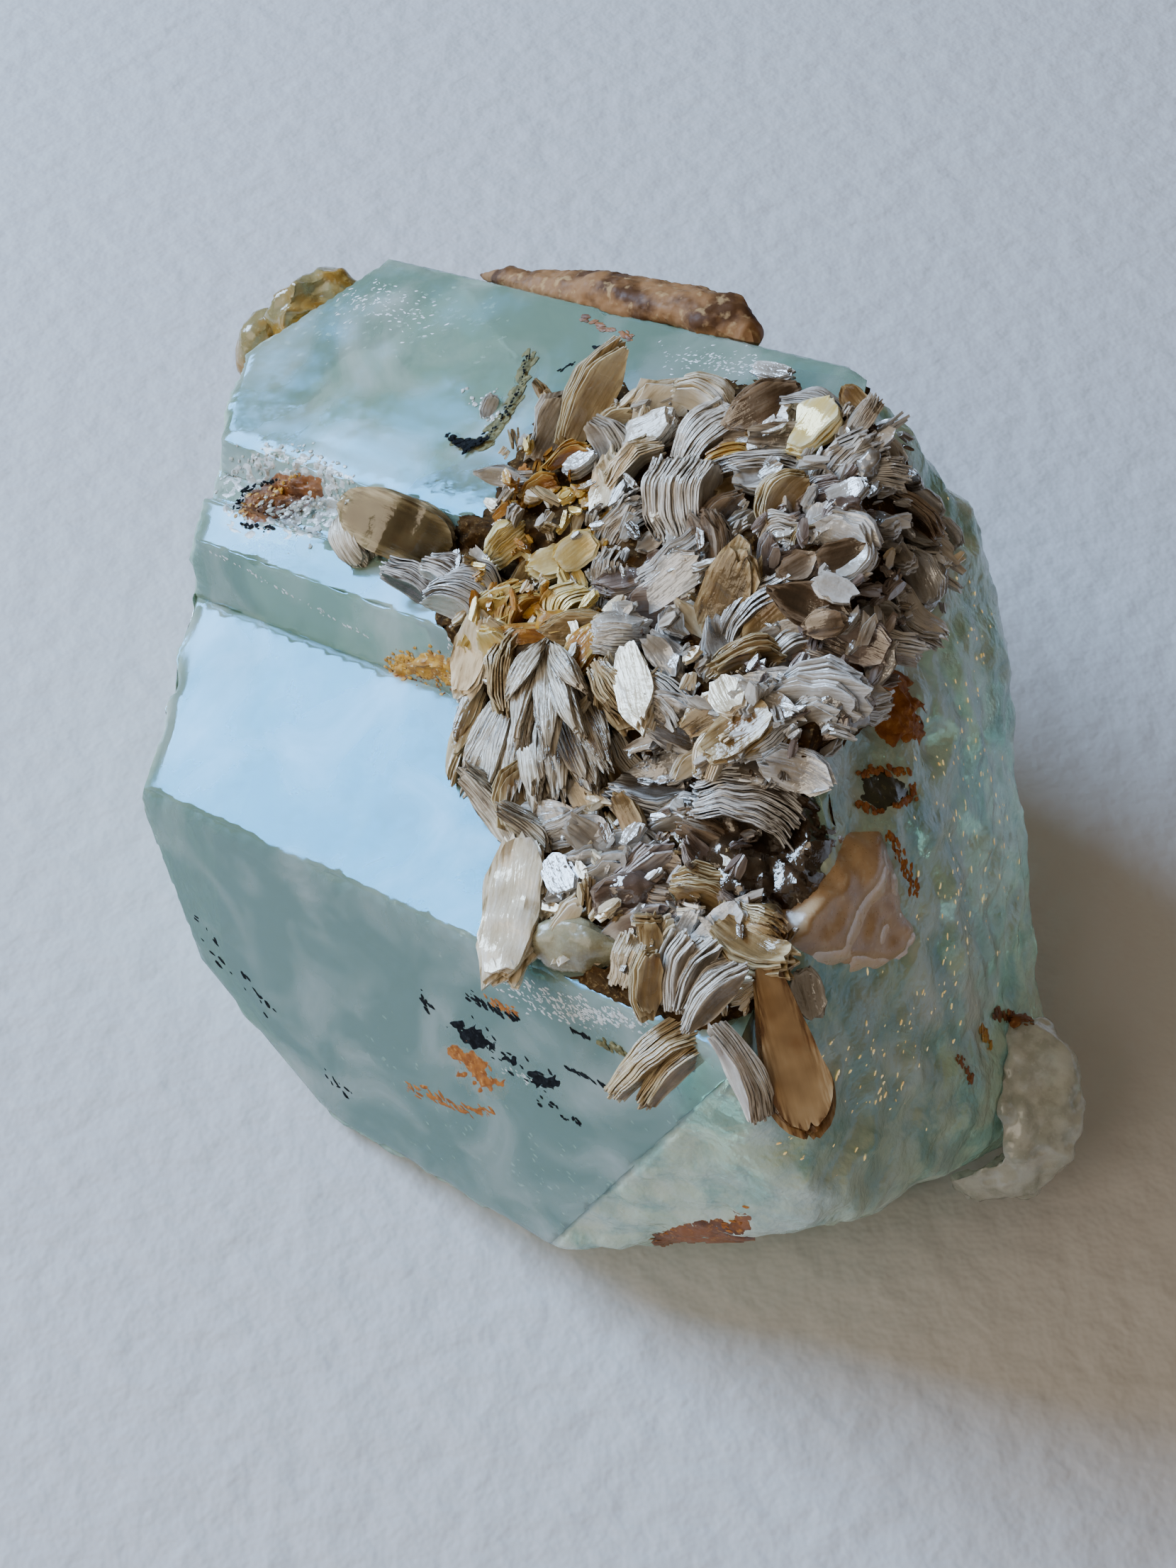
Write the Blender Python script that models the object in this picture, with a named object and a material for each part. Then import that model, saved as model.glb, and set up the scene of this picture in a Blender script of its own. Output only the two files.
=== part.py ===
"""Aquamarine specimen: one hexagonal beryl crystal lying on its side, with a crust of mica books.

Sizes are millimetres in named constants, and every finished mesh is scaled to metres once, at the end.
+Z is up, +X right and -Y towards the show side. The origin is the middle of the resting footprint.
"""
import math
import random
from collections import Counter
from typing import NamedTuple

import bmesh
import bpy
from mathutils import Matrix, Vector

MM = 0.001
GAP = 0.3                                  # clearance between pieces that touch in the real specimen
SHOW_TILT = 52.0                           # the crust faces the show side, this far above level

# ------------------------------------------------------------------ crystal
HEADING = -37.0                            # the long axis points right and towards the show side
PLUNGE = 14.5                              # and rises by this much
ROLL = 17.0                                # the upper prism face leans to the front left by this much
EDGE_START = Vector((-30.7, 1.6, 18.0))    # left end of the edge between upper and front face
CRYSTAL_START = -18.0                      # the blank runs along the long axis from here
CRYSTAL_END = 60.0                         # to here, before its ends are broken off

# Cross-section seen along the long axis: (across the upper face, above the upper face).
PRISM_SECTION = (
    (0.0, 0.0),        # edge between the upper and the front prism face
    (14.5, -25.1),     # foot of the front face
    (10.0, -34.0),
    (-38.0, -34.0),
    (-50.5, -9.7),     # rear edge
    (-42.5, 4.2),      # top rear edge
    (-24.5, 4.2),      # groove between two growth steps
    (-23.0, 2.2),
    (-20.8, 2.4),
    (-19.8, 4.2),
    (-16.6, 4.2),      # top of the riser between the two steps
    (-14.2, 0.0),      # foot of the riser
)


class Break(NamedTuple):
    """A broken or natural end face through three points; the crystal stays on the core's side."""

    name: str
    a: tuple
    b: tuple
    c: tuple


CORE = Vector((0.0, 0.0, 14.0))            # a point deep in the crystal, on the kept side of each break
BREAKS = (
    Break("resting face", (0, 0, 0), (1, 0, 0), (0, 1, 0)),
    Break("left end, upper", (-27.6, 16.5, 25.2), (-25.2, 33.7, 27.9), (-28.0, 22.0, 5.0)),
    Break("left end, lower", (-30.7, 1.6, 18.0), (-28.6, 13.9, 20.0), (-26.9, -5.1, 6.1)),
    Break("left foot", (-26.9, -5.1, 6.1), (-21.8, -10.3, 3.1), (-20.0, -4.0, 0.0)),
    Break("top left corner", (-25.2, 33.7, 27.9), (-16.5, 37.8, 31.8), (-20.0, 40.0, 5.0)),
    Break("right break, upper", (18.1, 14.5, 42.0), (26.3, 13.5, 31.0), (27.7, 8.4, 27.0)),
    Break("right break, middle", (21.5, 2.5, 37.0), (27.7, 8.4, 27.0), (29.7, -1.5, 15.0)),
    Break("right break, lower", (9.5, -28.5, 27.0), (14.5, -31.0, 17.0), (20.5, -26.0, 13.0)),
    Break("rear right, upper", (18.1, 14.5, 42.0), (26.3, 13.5, 31.0), (20.0, 26.0, 22.0)),
    Break("rear right, middle", (26.3, 13.5, 31.0), (27.7, 8.4, 27.0), (25.0, 20.0, 12.0)),
    Break("rear right, lower", (27.7, 8.4, 27.0), (31.0, -7.0, 8.0), (29.0, 8.0, 4.0)),
    Break("front shell break", (9.5, -28.5, 27.0), (14.5, -31.0, 17.0), (-2.5, -26.1, 5.0)),
    Break("front undercut", (-2.5, -26.1, 4.5), (9.4, -31.9, 18.5), (8.0, -22.5, 0.0)),
    Break("right undercut", (14.5, -31.0, 17.0), (20.5, -26.0, 13.0), (24.0, -18.0, 0.0)),
    Break("rear foot", (-25.0, 36.0, 8.0), (0.0, 43.0, 13.0), (6.0, 27.0, 0.0)),
    Break("front foot", (-16.0, -15.6, 1.5), (-2.5, -26.1, 5.0), (-4.0, -19.0, 0.0)),
)


def crystal_axes():
    """Returns the long axis, the direction across the upper face, and that face's normal."""
    level = Vector((math.cos(math.radians(HEADING)), math.sin(math.radians(HEADING)), 0))
    vertical = Vector((0, 0, 1))
    along = level * math.cos(math.radians(PLUNGE)) + vertical * math.sin(math.radians(PLUNGE))
    front = level.cross(vertical)
    upright = front.cross(along)
    if upright.z < 0:
        upright.negate()
    normal = upright * math.cos(math.radians(ROLL)) + front * math.sin(math.radians(ROLL))
    return along.normalized(), along.cross(normal).normalized(), normal.normalized()


ALONG, ACROSS, NORMAL = crystal_axes()


def spot(u, w, v):
    """Returns the point at u along, w across and v above the crystal's front upper edge."""
    return EDGE_START + ALONG * u + ACROSS * w + NORMAL * v


def three_point_cut(bm, a, b, c, keep):
    """Cuts a closed bmesh with the plane through a, b and c, and closes it again on keep's side."""
    a, b, c = Vector(a), Vector(b), Vector(c)
    normal = (b - a).cross(c - a).normalized()
    if normal.dot(keep - a) > 0:
        normal.negate()
    geometry = bm.verts[:] + bm.edges[:] + bm.faces[:]
    cut = bmesh.ops.bisect_plane(bm, geom=geometry, dist=1e-4, plane_co=a, plane_no=normal, clear_outer=True)
    rim = [item for item in cut["geom_cut"] if isinstance(item, bmesh.types.BMEdge)]
    if rim:
        bmesh.ops.contextual_create(bm, geom=rim)


def crystal_mesh():
    """Builds the crystal: a hexagonal prism with a growth step and a groove, broken at both ends."""
    bm = bmesh.new()
    corners = [bm.verts.new(spot(CRYSTAL_START, w, v)) for w, v in PRISM_SECTION]
    section = bm.faces.new(corners)
    pulled = bmesh.ops.extrude_face_region(bm, geom=[section])
    moved = [item for item in pulled["geom"] if isinstance(item, bmesh.types.BMVert)]
    bmesh.ops.translate(bm, verts=moved, vec=ALONG * (CRYSTAL_END - CRYSTAL_START))
    bmesh.ops.recalc_face_normals(bm, faces=bm.faces)
    for end in BREAKS:
        three_point_cut(bm, end.a, end.b, end.c, CORE)
    bmesh.ops.recalc_face_normals(bm, faces=bm.faces)
    return bm


# ------------------------------------------------------------------ crust pieces
class Book(NamedTuple):
    """One mica book: a stack of sheets. Its middle is u along, w across and v above the crystal's edge,
    then lift towards the show side. Angles are degrees: turn is the long axis seen from the show side,
    lean raises that axis towards the viewer, and roll turns the sheets about it. A flat book lies
    parallel to the upper prism face instead, whatever its roll."""

    name: str
    u: float
    w: float
    v: float
    lift: float
    turn: float
    lean: float
    roll: float
    length: float
    width: float
    thick: float
    outline: str = "blade"
    flat: bool = False
    finish: str = "mica"


BOOKS = (
    Book("ribbed_stack_book", 29.4, -29.3, 4.2, 3.4, 85, 0, 65, 5.0, 3.0, 3.2, "hexagon"),
    Book("honey_book", 50.1, -2.9, -2.7, 2.2, -75, 4, 0, 10.0, 3.8, 2.4, "drop", finish="honey"),
    Book("barrel_book", 10.1, -23.0, 2.2, 2.6, -20, 0, 40, 9.0, 3.6, 3.0, "tab", finish="umber"),
    Book("cream_blade", 34.0, -16.8, 4.2, 3.6, -79, 0, 0, 6.1, 2.3, 0.9, "blade", True, "cream"),
    Book("crinkled_cream_book", 32.4, -2.8, 0.0, 2.6, 78, 0, 10, 8.7, 3.6, 1.4, "hexagon", finish="cream"),
    Book("golden_book", 34.5, -36.8, 4.2, 3.2, 55, 0, 0, 4.0, 3.1, 0.8, "drop", True, "gold"),
    Book("dark_lens_book", 30.5, -37.4, 4.2, 3.6, 28, 0, 10, 5.5, 2.6, 1.4, "lens", finish="umber"),
    Book("tan_blade_book", 18.8, -34.9, 4.2, 3.0, 62, 10, 25, 7.5, 2.4, 1.4, "blade", finish="tan"),
    Book("tan_splay_book", 22.1, -32.1, 4.2, 2.6, -60, 0, 70, 3.2, 1.8, 1.2, "hexagon"),
    Book("blue_facet_book", 20.9, -30.1, 4.2, 2.6, 35, 0, 0, 2.3, 1.3, 0.8, "hexagon", True, "silver"),
    Book("splinter_book", 16.1, -27.8, 4.2, 2.6, -8, 0, 20, 3.5, 1.3, 0.7, "lens", finish="silver"),
    Book("feather_top_book", 26.2, -37.2, 4.2, 3.0, -25, 0, 55, 3.7, 1.8, 1.2, "hexagon", finish="cream"),
    Book("feather_low_book", 28.0, -34.5, 4.2, 2.8, 50, 0, 65, 5.0, 2.0, 1.4, "blade"),
    Book("silver_rim_flake", 29.8, -40.0, 4.2, 2.8, -20, 0, 0, 2.8, 1.1, 0.6, "hexagon", True, "silver"),
    Book("right_leaf_book", 36.5, -39.2, 4.2, 2.8, -50, 0, 0, 2.7, 1.5, 0.7, "tab", finish="tan"),
    Book("copper_edge_book", 30.7, -33.7, 4.2, 2.4, 12, 0, 60, 3.4, 1.3, 0.8, "blade", finish="gold"),
    Book("black_edge_book", 32.6, -33.6, 4.2, 2.8, 3, 0, 80, 5.6, 1.8, 0.7, "hexagon", finish="umber"),
    Book("smoky_leaf_book", 31.9, -29.0, 4.2, 3.4, 50, 0, 20, 4.2, 2.0, 0.7, "lens", finish="umber"),
    Book("curved_leaf_book", 35.6, -31.3, 4.2, 3.0, 60, 0, 30, 4.1, 2.6, 0.9, "tab", finish="tan"),
    Book("low_leaf_book", 38.5, -29.5, 4.2, 2.6, 45, 0, 20, 2.8, 1.5, 0.7, "lens", finish="tan"),
    Book("glint_book", 41.3, -29.1, 4.0, 2.6, 10, 0, 0, 3.4, 2.1, 1.0, "hexagon", finish="umber"),
    Book("bronze_sliver_book", 39.9, -36.2, -0.6, 2.6, -35, 0, 60, 4.5, 1.3, 0.8, "blade", finish="umber"),
    Book("cream_lens_book", 33.8, -22.9, 2.2, 3.8, -48, 0, 0, 3.7, 1.4, 0.8, "lens", finish="cream"),
    Book("curved_blade_book", 37.2, -23.5, 2.9, 3.6, 58, 12, 50, 6.6, 1.7, 0.9, "blade", finish="silver"),
    Book("second_blade_book", 40.1, -23.1, 2.4, 3.4, 42, 0, 50, 3.8, 1.3, 0.7, "blade"),
    Book("brown_leaf_book", 41.3, -25.5, 4.2, 2.8, -20, 0, 0, 5.5, 2.5, 0.8, "lens", finish="umber"),
    Book("crumpled_flake", 34.5, -19.5, 4.2, 3.0, -50, 0, 20, 2.8, 1.5, 0.8, "hexagon", finish="silver"),
    Book("olive_flake", 32.6, -16.3, 3.7, 2.4, -68, 0, 0, 4.7, 1.9, 0.5, "hexagon", finish="umber"),
    Book("bright_flake", 39.8, -18.2, 4.2, 3.8, -65, 0, 0, 2.7, 1.9, 0.9, "hexagon", True, "cream"),
    Book("pointed_blade_book", 38.2, -15.0, 1.5, 3.6, 35, 0, 20, 3.1, 1.3, 0.8, "lens", finish="cream"),
    Book("black_rib_book", 42.3, -14.5, 0.6, 2.6, -12, 0, 80, 6.2, 2.2, 2.6, "hexagon", finish="silver"),
    Book("silver_flake", 33.5, -5.8, 0.0, 3.2, -60, 0, 0, 3.0, 1.9, 0.7, "hexagon", True, "silver"),
    Book("round_flake", 33.3, -9.4, 0.0, 3.2, 0, 0, 0, 2.4, 1.4, 0.7, "tab", finish="silver"),
    Book("angular_book", 35.5, -11.0, 0.0, 3.0, -65, 0, 20, 3.0, 1.4, 0.9, "hexagon", finish="tan"),
    Book("upright_blade_book", 42.7, -1.8, 0.0, 2.4, 88, 0, 20, 3.7, 1.5, 0.9, "hexagon", finish="tan"),
    Book("spindle_book", 46.4, -3.2, 0.0, 3.8, 47, 0, 30, 4.9, 1.4, 1.1, "lens"),
    Book("honey_flank_book", 50.1, -0.1, -0.9, 2.0, -62, 0, 60, 5.9, 1.3, 0.9, "blade", finish="cream"),
    Book("silver_tab_book", 49.9, -6.2, -3.2, 1.6, -75, 0, 0, 2.9, 1.7, 0.8, "hexagon", finish="silver"),
)

# The feathered fan is one intergrowth, so its blades are joined. They run down from a common root.
FAN_BLADES = (
    Book("fan", 21.0, -13.8, 0.0, 3.4, 67, 0, 30, 4.6, 1.2, 1.0, "blade"),
    Book("fan", 22.7, -13.0, 0.0, 3.6, 72, 0, 40, 6.8, 1.7, 1.4, "blade"),
    Book("fan", 24.6, -13.8, 0.0, 4.0, 76, 0, 35, 7.0, 2.2, 1.6, "blade"),
    Book("fan", 27.5, -14.3, 0.2, 4.2, -81, 0, -35, 6.4, 2.2, 1.6, "blade"),
    Book("fan", 29.5, -14.7, 0.9, 4.0, -75, 0, -35, 6.8, 2.2, 1.5, "blade"),
    Book("fan", 31.0, -14.2, 0.0, 3.6, -70, 0, -40, 5.8, 2.0, 1.3, "blade"),
    Book("fan", 26.6, -17.4, 2.0, 3.6, 0, 0, 0, 4.6, 2.2, 2.2, "tab"),
    Book("fan", 27.6, -9.6, 0.0, 3.0, -48, 0, 50, 6.2, 2.2, 1.8, "blade"),
)

# The small fan below it is another, of three short ribbed blades.
SMALL_FAN_BLADES = (
    Book("small_fan", 43.9, -3.0, 0.0, 3.2, 80, 0, 30, 4.2, 1.2, 0.9, "blade"),
    Book("small_fan", 44.6, -3.9, 0.0, 3.4, 64, 0, 30, 4.4, 1.3, 1.0, "blade"),
    Book("small_fan", 45.4, -4.6, 0.0, 3.2, 48, 0, 30, 4.0, 1.2, 0.9, "blade"),
)

# Two long blades grown across each other, low on the show side.
CROSSED_BLADES = (
    Book("crossed", 44.0, 1.0, -1.8, 2.4, 40, 4, 60, 6.7, 1.6, 1.1, "blade"),
    Book("crossed", 46.0, 1.6, -2.4, 2.0, 46, 4, 50, 5.6, 1.4, 0.9, "blade"),
)


class Lump(NamedTuple):
    """A rounded, uneven grain: its middle, then its length along axis, depth and height."""

    name: str
    middle: tuple
    axis: tuple
    length: float
    depth: float
    height: float
    roughness: float
    seed: int
    finish: str


# Grains of the host rock, seated on the crystal before the crust.
ROCK_GRAINS = (
    Lump("rear_feldspar", (1.8, 28.7, 36.5), (0.77, -0.58, 0.25), 25.0, 5.2, 5.0, 0.10, 11, "rust"),
    Lump("glassy_amber_grain", (-20.0, 38.5, 27.0), (0.80, 0.50, 0.30), 7.5, 5.0, 8.0, 0.12, 12, "amber"),
    Lump("yellow_feldspar_grain", (-24.0, 37.5, 24.5), (0.60, 0.70, 0.10), 5.5, 4.5, 8.0, 0.10, 13, "amber"),
    Lump("groove_rust_grain", (-21.4, 20.7, 26.0), (0.77, -0.58, 0.25), 6.6, 2.6, 2.2, 0.12, 14, "rust"),
    Lump("quartz_lobe", (27.9, -17.0, 7.4), (0.15, 0.75, 0.62), 11.0, 8.5, 6.5, 0.10, 15, "quartz"),
    Lump("pink_feldspar_patch", (15.0, -17.0, 30.4), (0.30, 0.90, 0.30), 7.8, 3.0, 5.6, 0.08, 16, "feldspar"),
    Lump("rust_patch", (17.8, -5.6, 34.4), (0.10, 0.80, 0.50), 5.0, 2.6, 3.4, 0.10, 17, "rust"),
    Lump("pale_quartz_grain", (-0.6, -18.9, 28.6), (0.9, -0.35, 0.3), 6.8, 3.0, 5.4, 0.08, 25, "quartz"),
)

# Rounded mica and stained grains that stand in the crust.
CRUST_GRAINS = (
    Lump("silver_dome", (14.0, -10.3, 39.9), (1.0, 0.1, 0.1), 3.9, 3.0, 3.6, 0.08, 18, "silver"),
    Lump("purple_star_grain", (15.0, 2.3, 42.9), (1.0, 0.0, 0.1), 2.8, 2.0, 2.8, 0.12, 19, "plum"),
    Lump("grey_chip_grain", (20.9, 3.1, 36.3), (0.2, 0.8, 0.5), 4.8, 2.2, 3.0, 0.12, 20, "silver"),
    Lump("upright_silver_grain", (16.6, 5.8, 43.5), (0.3, 0.7, 0.6), 2.6, 1.5, 1.6, 0.10, 22, "silver"),
    Lump("orange_dome_grain", (-1.6, -0.2, 36.0), (1.0, 0.0, 0.0), 3.4, 2.0, 2.0, 0.08, 23, "rust"),
    Lump("plum_mica_grain", (2.6, -17.0, 31.5), (0.9, -0.2, 0.4), 3.6, 2.6, 3.4, 0.10, 24, "plum"),
    Lump("smoky_mica_mass", (10.0, -16.9, 34.7), (0.7, -0.6, -0.4), 8.4, 3.0, 5.2, 0.10, 26, "umber"),
)

# The bed of small flakes carries the books. Its outline is (u, w) round the crust, and its top
# follows the crystal's surface, as far from it as the small flakes reach.
BED_OUTLINE = ((8.0, -25.0), (14.0, -31.0), (18.0, -38.0), (27.0, -41.5), (36.0, -42.0), (42.0, -39.0),
               (43.5, -33.0), (45.0, -26.0), (47.0, -19.0), (48.5, -12.0), (50.0, -5.0), (47.0, 1.5),
               (41.0, 2.0), (31.0, -0.5), (24.0, -8.0), (19.5, -13.0), (14.0, -19.0))
BED_THICKNESS = 1.0
BED_SPREAD = 0.06                          # the outline's share of growth for each millimetre of clearance
BED_COLUMN = (-14.0, 12.0)                 # heights between which the outline is pulled

OUTLINE_SIDES = 10
FLAT_ANGLE = math.radians(1.5)             # faces closer than this in direction are one face


class Finish(NamedTuple):
    """A surface's colour (linear RGB) and roughness. Nothing here is metal."""

    colour: tuple
    roughness: float


FINISHES = {
    "beryl": Finish((0.42, 0.62, 0.63), 0.12), "bed": Finish((0.27, 0.22, 0.17), 0.45),
    "mica": Finish((0.36, 0.31, 0.26), 0.30), "honey": Finish((0.36, 0.17, 0.05), 0.20),
    "umber": Finish((0.13, 0.09, 0.06), 0.25), "cream": Finish((0.72, 0.64, 0.52), 0.25),
    "gold": Finish((0.75, 0.58, 0.22), 0.25), "tan": Finish((0.38, 0.29, 0.17), 0.35),
    "silver": Finish((0.60, 0.62, 0.65), 0.20), "plum": Finish((0.22, 0.15, 0.15), 0.30),
    "rust": Finish((0.42, 0.17, 0.05), 0.65), "amber": Finish((0.52, 0.34, 0.10), 0.20),
    "quartz": Finish((0.62, 0.62, 0.55), 0.18), "feldspar": Finish((0.34, 0.22, 0.16), 0.40),
}


def half_width(outline, t):
    """Returns a book's half-width as a share of its width, at t from 0 (root) to 1 (tip)."""
    if outline == "lens":
        return 0.5 * math.sin(math.pi * t) ** 0.8
    if outline == "blade":
        return 0.5 * min(1.0, 0.55 + 1.2 * t) * min(1.0, 3.2 * (1.0 - t)) ** 0.7
    if outline == "drop":
        return 0.5 * min(1.0, 0.35 + 0.9 * t) * math.sqrt(max(0.0, 1.0 - max(0.0, (t - 0.7) / 0.3) ** 2))
    if outline == "tab":
        return 0.5 * (1.0 - abs(2.0 * t - 1.0) ** 3) ** 0.5
    return 0.5 * min(1.0, 0.55 + 1.8 * min(t, 1.0 - t))


def outline_points(outline, length, width):
    """Returns the outline of a sheet as points round it, centred, with its length along X."""
    stations = [index / (OUTLINE_SIDES // 2) for index in range(OUTLINE_SIDES // 2 + 1)]
    upper = [(length * (t - 0.5), width * half_width(outline, t)) for t in stations]
    lower = [(x, -y) for x, y in reversed(upper)]
    points = []
    for x, y in upper + lower:
        if not points or (Vector((x, y)) - Vector(points[-1])).length > 0.05 * width:
            points.append((x, y))
    if (Vector(points[0]) - Vector(points[-1])).length < 0.05 * width:
        points.pop()
    return points


def book_frame(book):
    """Returns the matrix that puts a book's length on X and its sheet normal on Z, in its place."""
    tilt = math.radians(SHOW_TILT)
    show = Vector((0, -math.cos(tilt), math.sin(tilt)))
    up = Vector((0, math.sin(tilt), math.cos(tilt)))
    turn = math.radians(book.turn)
    long_axis = Vector((math.cos(turn), 0, 0)) + up * math.sin(turn)
    if book.flat:
        normal = NORMAL.copy()
        long_axis = (long_axis - show * (long_axis.dot(normal) / show.dot(normal))).normalized()
    else:
        lean = math.radians(book.lean)
        long_axis = (long_axis * math.cos(lean) + show * math.sin(lean)).normalized()
        facing = (show - long_axis * show.dot(long_axis)).normalized()
        normal = Matrix.Rotation(math.radians(book.roll), 3, long_axis) @ facing
    cross = normal.cross(long_axis).normalized()
    middle = spot(book.u, book.w, book.v) + show * book.lift
    frame = Matrix((long_axis, cross, normal)).transposed().to_4x4()
    frame.translation = middle
    return frame


def book_mesh(book):
    """Builds one book: its sheet outline pulled to its thickness, a little smaller on top."""
    bm = bmesh.new()
    ring = [bm.verts.new((x, y, -book.thick / 2)) for x, y in
            outline_points(book.outline, book.length, book.width)]
    sheet = bm.faces.new(ring)
    pulled = bmesh.ops.extrude_face_region(bm, geom=[sheet])
    top = [item for item in pulled["geom"] if isinstance(item, bmesh.types.BMVert)]
    bmesh.ops.translate(bm, verts=top, vec=(0, 0, book.thick))
    bmesh.ops.scale(bm, verts=top, vec=(0.92, 0.88, 1.0))
    bmesh.ops.recalc_face_normals(bm, faces=bm.faces)
    bm.transform(book_frame(book))
    return bm


def lump_mesh(lump):
    """Builds one grain: a sphere stretched to size, with uneven seeded dents, turned onto its axis."""
    draw = random.Random(lump.seed)
    bm = bmesh.new()
    bmesh.ops.create_icosphere(bm, subdivisions=2, radius=1.0)
    for vert in bm.verts:
        vert.co *= 1.0 + lump.roughness * draw.uniform(-1, 1)
        vert.co = Vector((vert.co.x * lump.length, vert.co.y * lump.depth, vert.co.z * lump.height)) * 0.5
    axis = Vector(lump.axis).normalized()
    sideways = Vector((0, 0, 1)).cross(axis).normalized()
    frame = Matrix((axis, sideways, axis.cross(sideways))).transposed().to_4x4()
    frame.translation = Vector(lump.middle)
    bm.transform(frame)
    return bm


def bed_column(spread):
    """Builds the column over the crust's outline, from inside the crystal to above the flakes."""
    bottom, top = BED_COLUMN
    middle_u = sum(u for u, _ in BED_OUTLINE) / len(BED_OUTLINE)
    middle_w = sum(w for _, w in BED_OUTLINE) / len(BED_OUTLINE)
    bm = bmesh.new()
    ring = [spot(middle_u + (u - middle_u) * spread, middle_w + (w - middle_w) * spread, bottom)
            for u, w in BED_OUTLINE]
    foot = bm.faces.new([bm.verts.new(corner) for corner in ring])
    pulled = bmesh.ops.extrude_face_region(bm, geom=[foot])
    moved = [item for item in pulled["geom"] if isinstance(item, bmesh.types.BMVert)]
    bmesh.ops.translate(bm, verts=moved, vec=NORMAL * (top - bottom))
    bmesh.ops.recalc_face_normals(bm, faces=bm.faces)
    return bm


# ------------------------------------------------------------------ fitting pieces together
def make_object(name, bm, finish):
    """Turns a bmesh into a named object with its own material, and frees the bmesh."""
    mesh = bpy.data.meshes.new(name)
    bm.to_mesh(mesh)
    bm.free()
    material = bpy.data.materials.new(name + "_finish")
    material.use_nodes = True
    shader = material.node_tree.nodes["Principled BSDF"]
    shader.inputs["Base Color"].default_value = (*FINISHES[finish].colour, 1.0)
    shader.inputs["Roughness"].default_value = FINISHES[finish].roughness
    shader.inputs["Metallic"].default_value = 0.0
    mesh.materials.append(material)
    piece = bpy.data.objects.new(name, mesh)
    bpy.context.scene.collection.objects.link(piece)
    return piece


def grown(piece, amount):
    """Returns a scratch copy of a piece with every face moved outwards by about the given amount."""
    bm = bmesh.new()
    bm.from_mesh(piece.data)
    bmesh.ops.remove_doubles(bm, verts=bm.verts, dist=1e-3)
    bmesh.ops.recalc_face_normals(bm, faces=bm.faces)
    bm.normal_update()
    moves = [vert.normal * min(amount * vert.calc_shell_factor(), 2.5 * amount) for vert in bm.verts]
    for vert, move in zip(bm.verts, moves):
        vert.co += move
    mesh = bpy.data.meshes.new(piece.name + "_cutter")
    bm.to_mesh(mesh)
    bm.free()
    cutter = bpy.data.objects.new(mesh.name, mesh)
    bpy.context.scene.collection.objects.link(cutter)
    return cutter


def apply_boolean(piece, other, operation):
    """Applies one exact Boolean to a piece's mesh and removes the other object."""
    modifier = piece.modifiers.new(operation, "BOOLEAN")
    modifier.operation = operation
    modifier.solver = "EXACT"
    modifier.object = other
    bpy.context.view_layer.update()
    graph = bpy.context.evaluated_depsgraph_get()
    result = bpy.data.meshes.new_from_object(piece.evaluated_get(graph))
    piece.modifiers.clear()
    piece.data = result
    bpy.data.objects.remove(other)


def sorted_mesh(bm):
    """Returns the bmesh rebuilt with rounded corners in a fixed order, so that each run is the same.

    Two faces on the same corners are a fin with no thickness, and both are left out.
    """
    corners = sorted({tuple(round(value, 3) for value in vert.co) for vert in bm.verts})
    place = {corner: index for index, corner in enumerate(corners)}
    loops = []
    for face in bm.faces:
        loop = [place[tuple(round(value, 3) for value in vert.co)] for vert in face.verts]
        loop = [item for index, item in enumerate(loop) if item != loop[index - 1]]
        if len(set(loop)) == len(loop) >= 3:
            first = loop.index(min(loop))
            loops.append(tuple(loop[first:] + loop[:first]))
    sides = Counter(tuple(sorted(loop)) for loop in loops)
    fresh = bmesh.new()
    verts = [fresh.verts.new(corner) for corner in corners]
    for loop in sorted(loops):
        if sides[tuple(sorted(loop))] == 1:
            fresh.faces.new([verts[index] for index in loop])
    bm.free()
    return fresh


def bodies_of(bm):
    """Returns the faces of each connected body, smallest body first."""
    bodies = []
    seen = set()
    for start in bm.faces:
        if start in seen:
            continue
        body = [start]
        seen.add(start)
        for face in body:
            for edge in face.edges:
                for neighbour in edge.link_faces:
                    if neighbour not in seen:
                        seen.add(neighbour)
                        body.append(neighbour)
        bodies.append(body)
    return sorted(bodies, key=lambda body: sum(face.calc_area() for face in body))


def settle(piece):
    """Clears the slivers that cuts leave, keeps the largest body, and fixes the order of its mesh."""
    bm = bmesh.new()
    bm.from_mesh(piece.data)
    bm = sorted_mesh(bm)
    bmesh.ops.dissolve_degenerate(bm, edges=bm.edges[:], dist=5e-3)
    bmesh.ops.dissolve_limit(bm, angle_limit=FLAT_ANGLE, verts=bm.verts[:], edges=bm.edges[:])
    bmesh.ops.triangulate(bm, faces=bm.faces[:])
    spare = [face for body in bodies_of(bm)[:-1] for face in body]
    bmesh.ops.delete(bm, geom=spare, context="FACES")
    bm = sorted_mesh(bm)
    bm.to_mesh(piece.data)
    bm.free()


def box_of(piece):
    """Returns the piece's lowest and highest corner."""
    points = [vert.co for vert in piece.data.vertices]
    low = Vector([min(point[axis] for point in points) for axis in range(3)])
    high = Vector([max(point[axis] for point in points) for axis in range(3)])
    return low, high


def boxes_meet(piece, other):
    """Tells whether two objects' boxes overlap."""
    low, high = box_of(piece)
    other_low, other_high = box_of(other)
    return all(low[axis] < other_high[axis] and other_low[axis] < high[axis] for axis in range(3))


def blank_mesh(shape):
    """Builds the uncut shape of a book or a grain."""
    return book_mesh(shape) if isinstance(shape, Book) else lump_mesh(shape)


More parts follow.
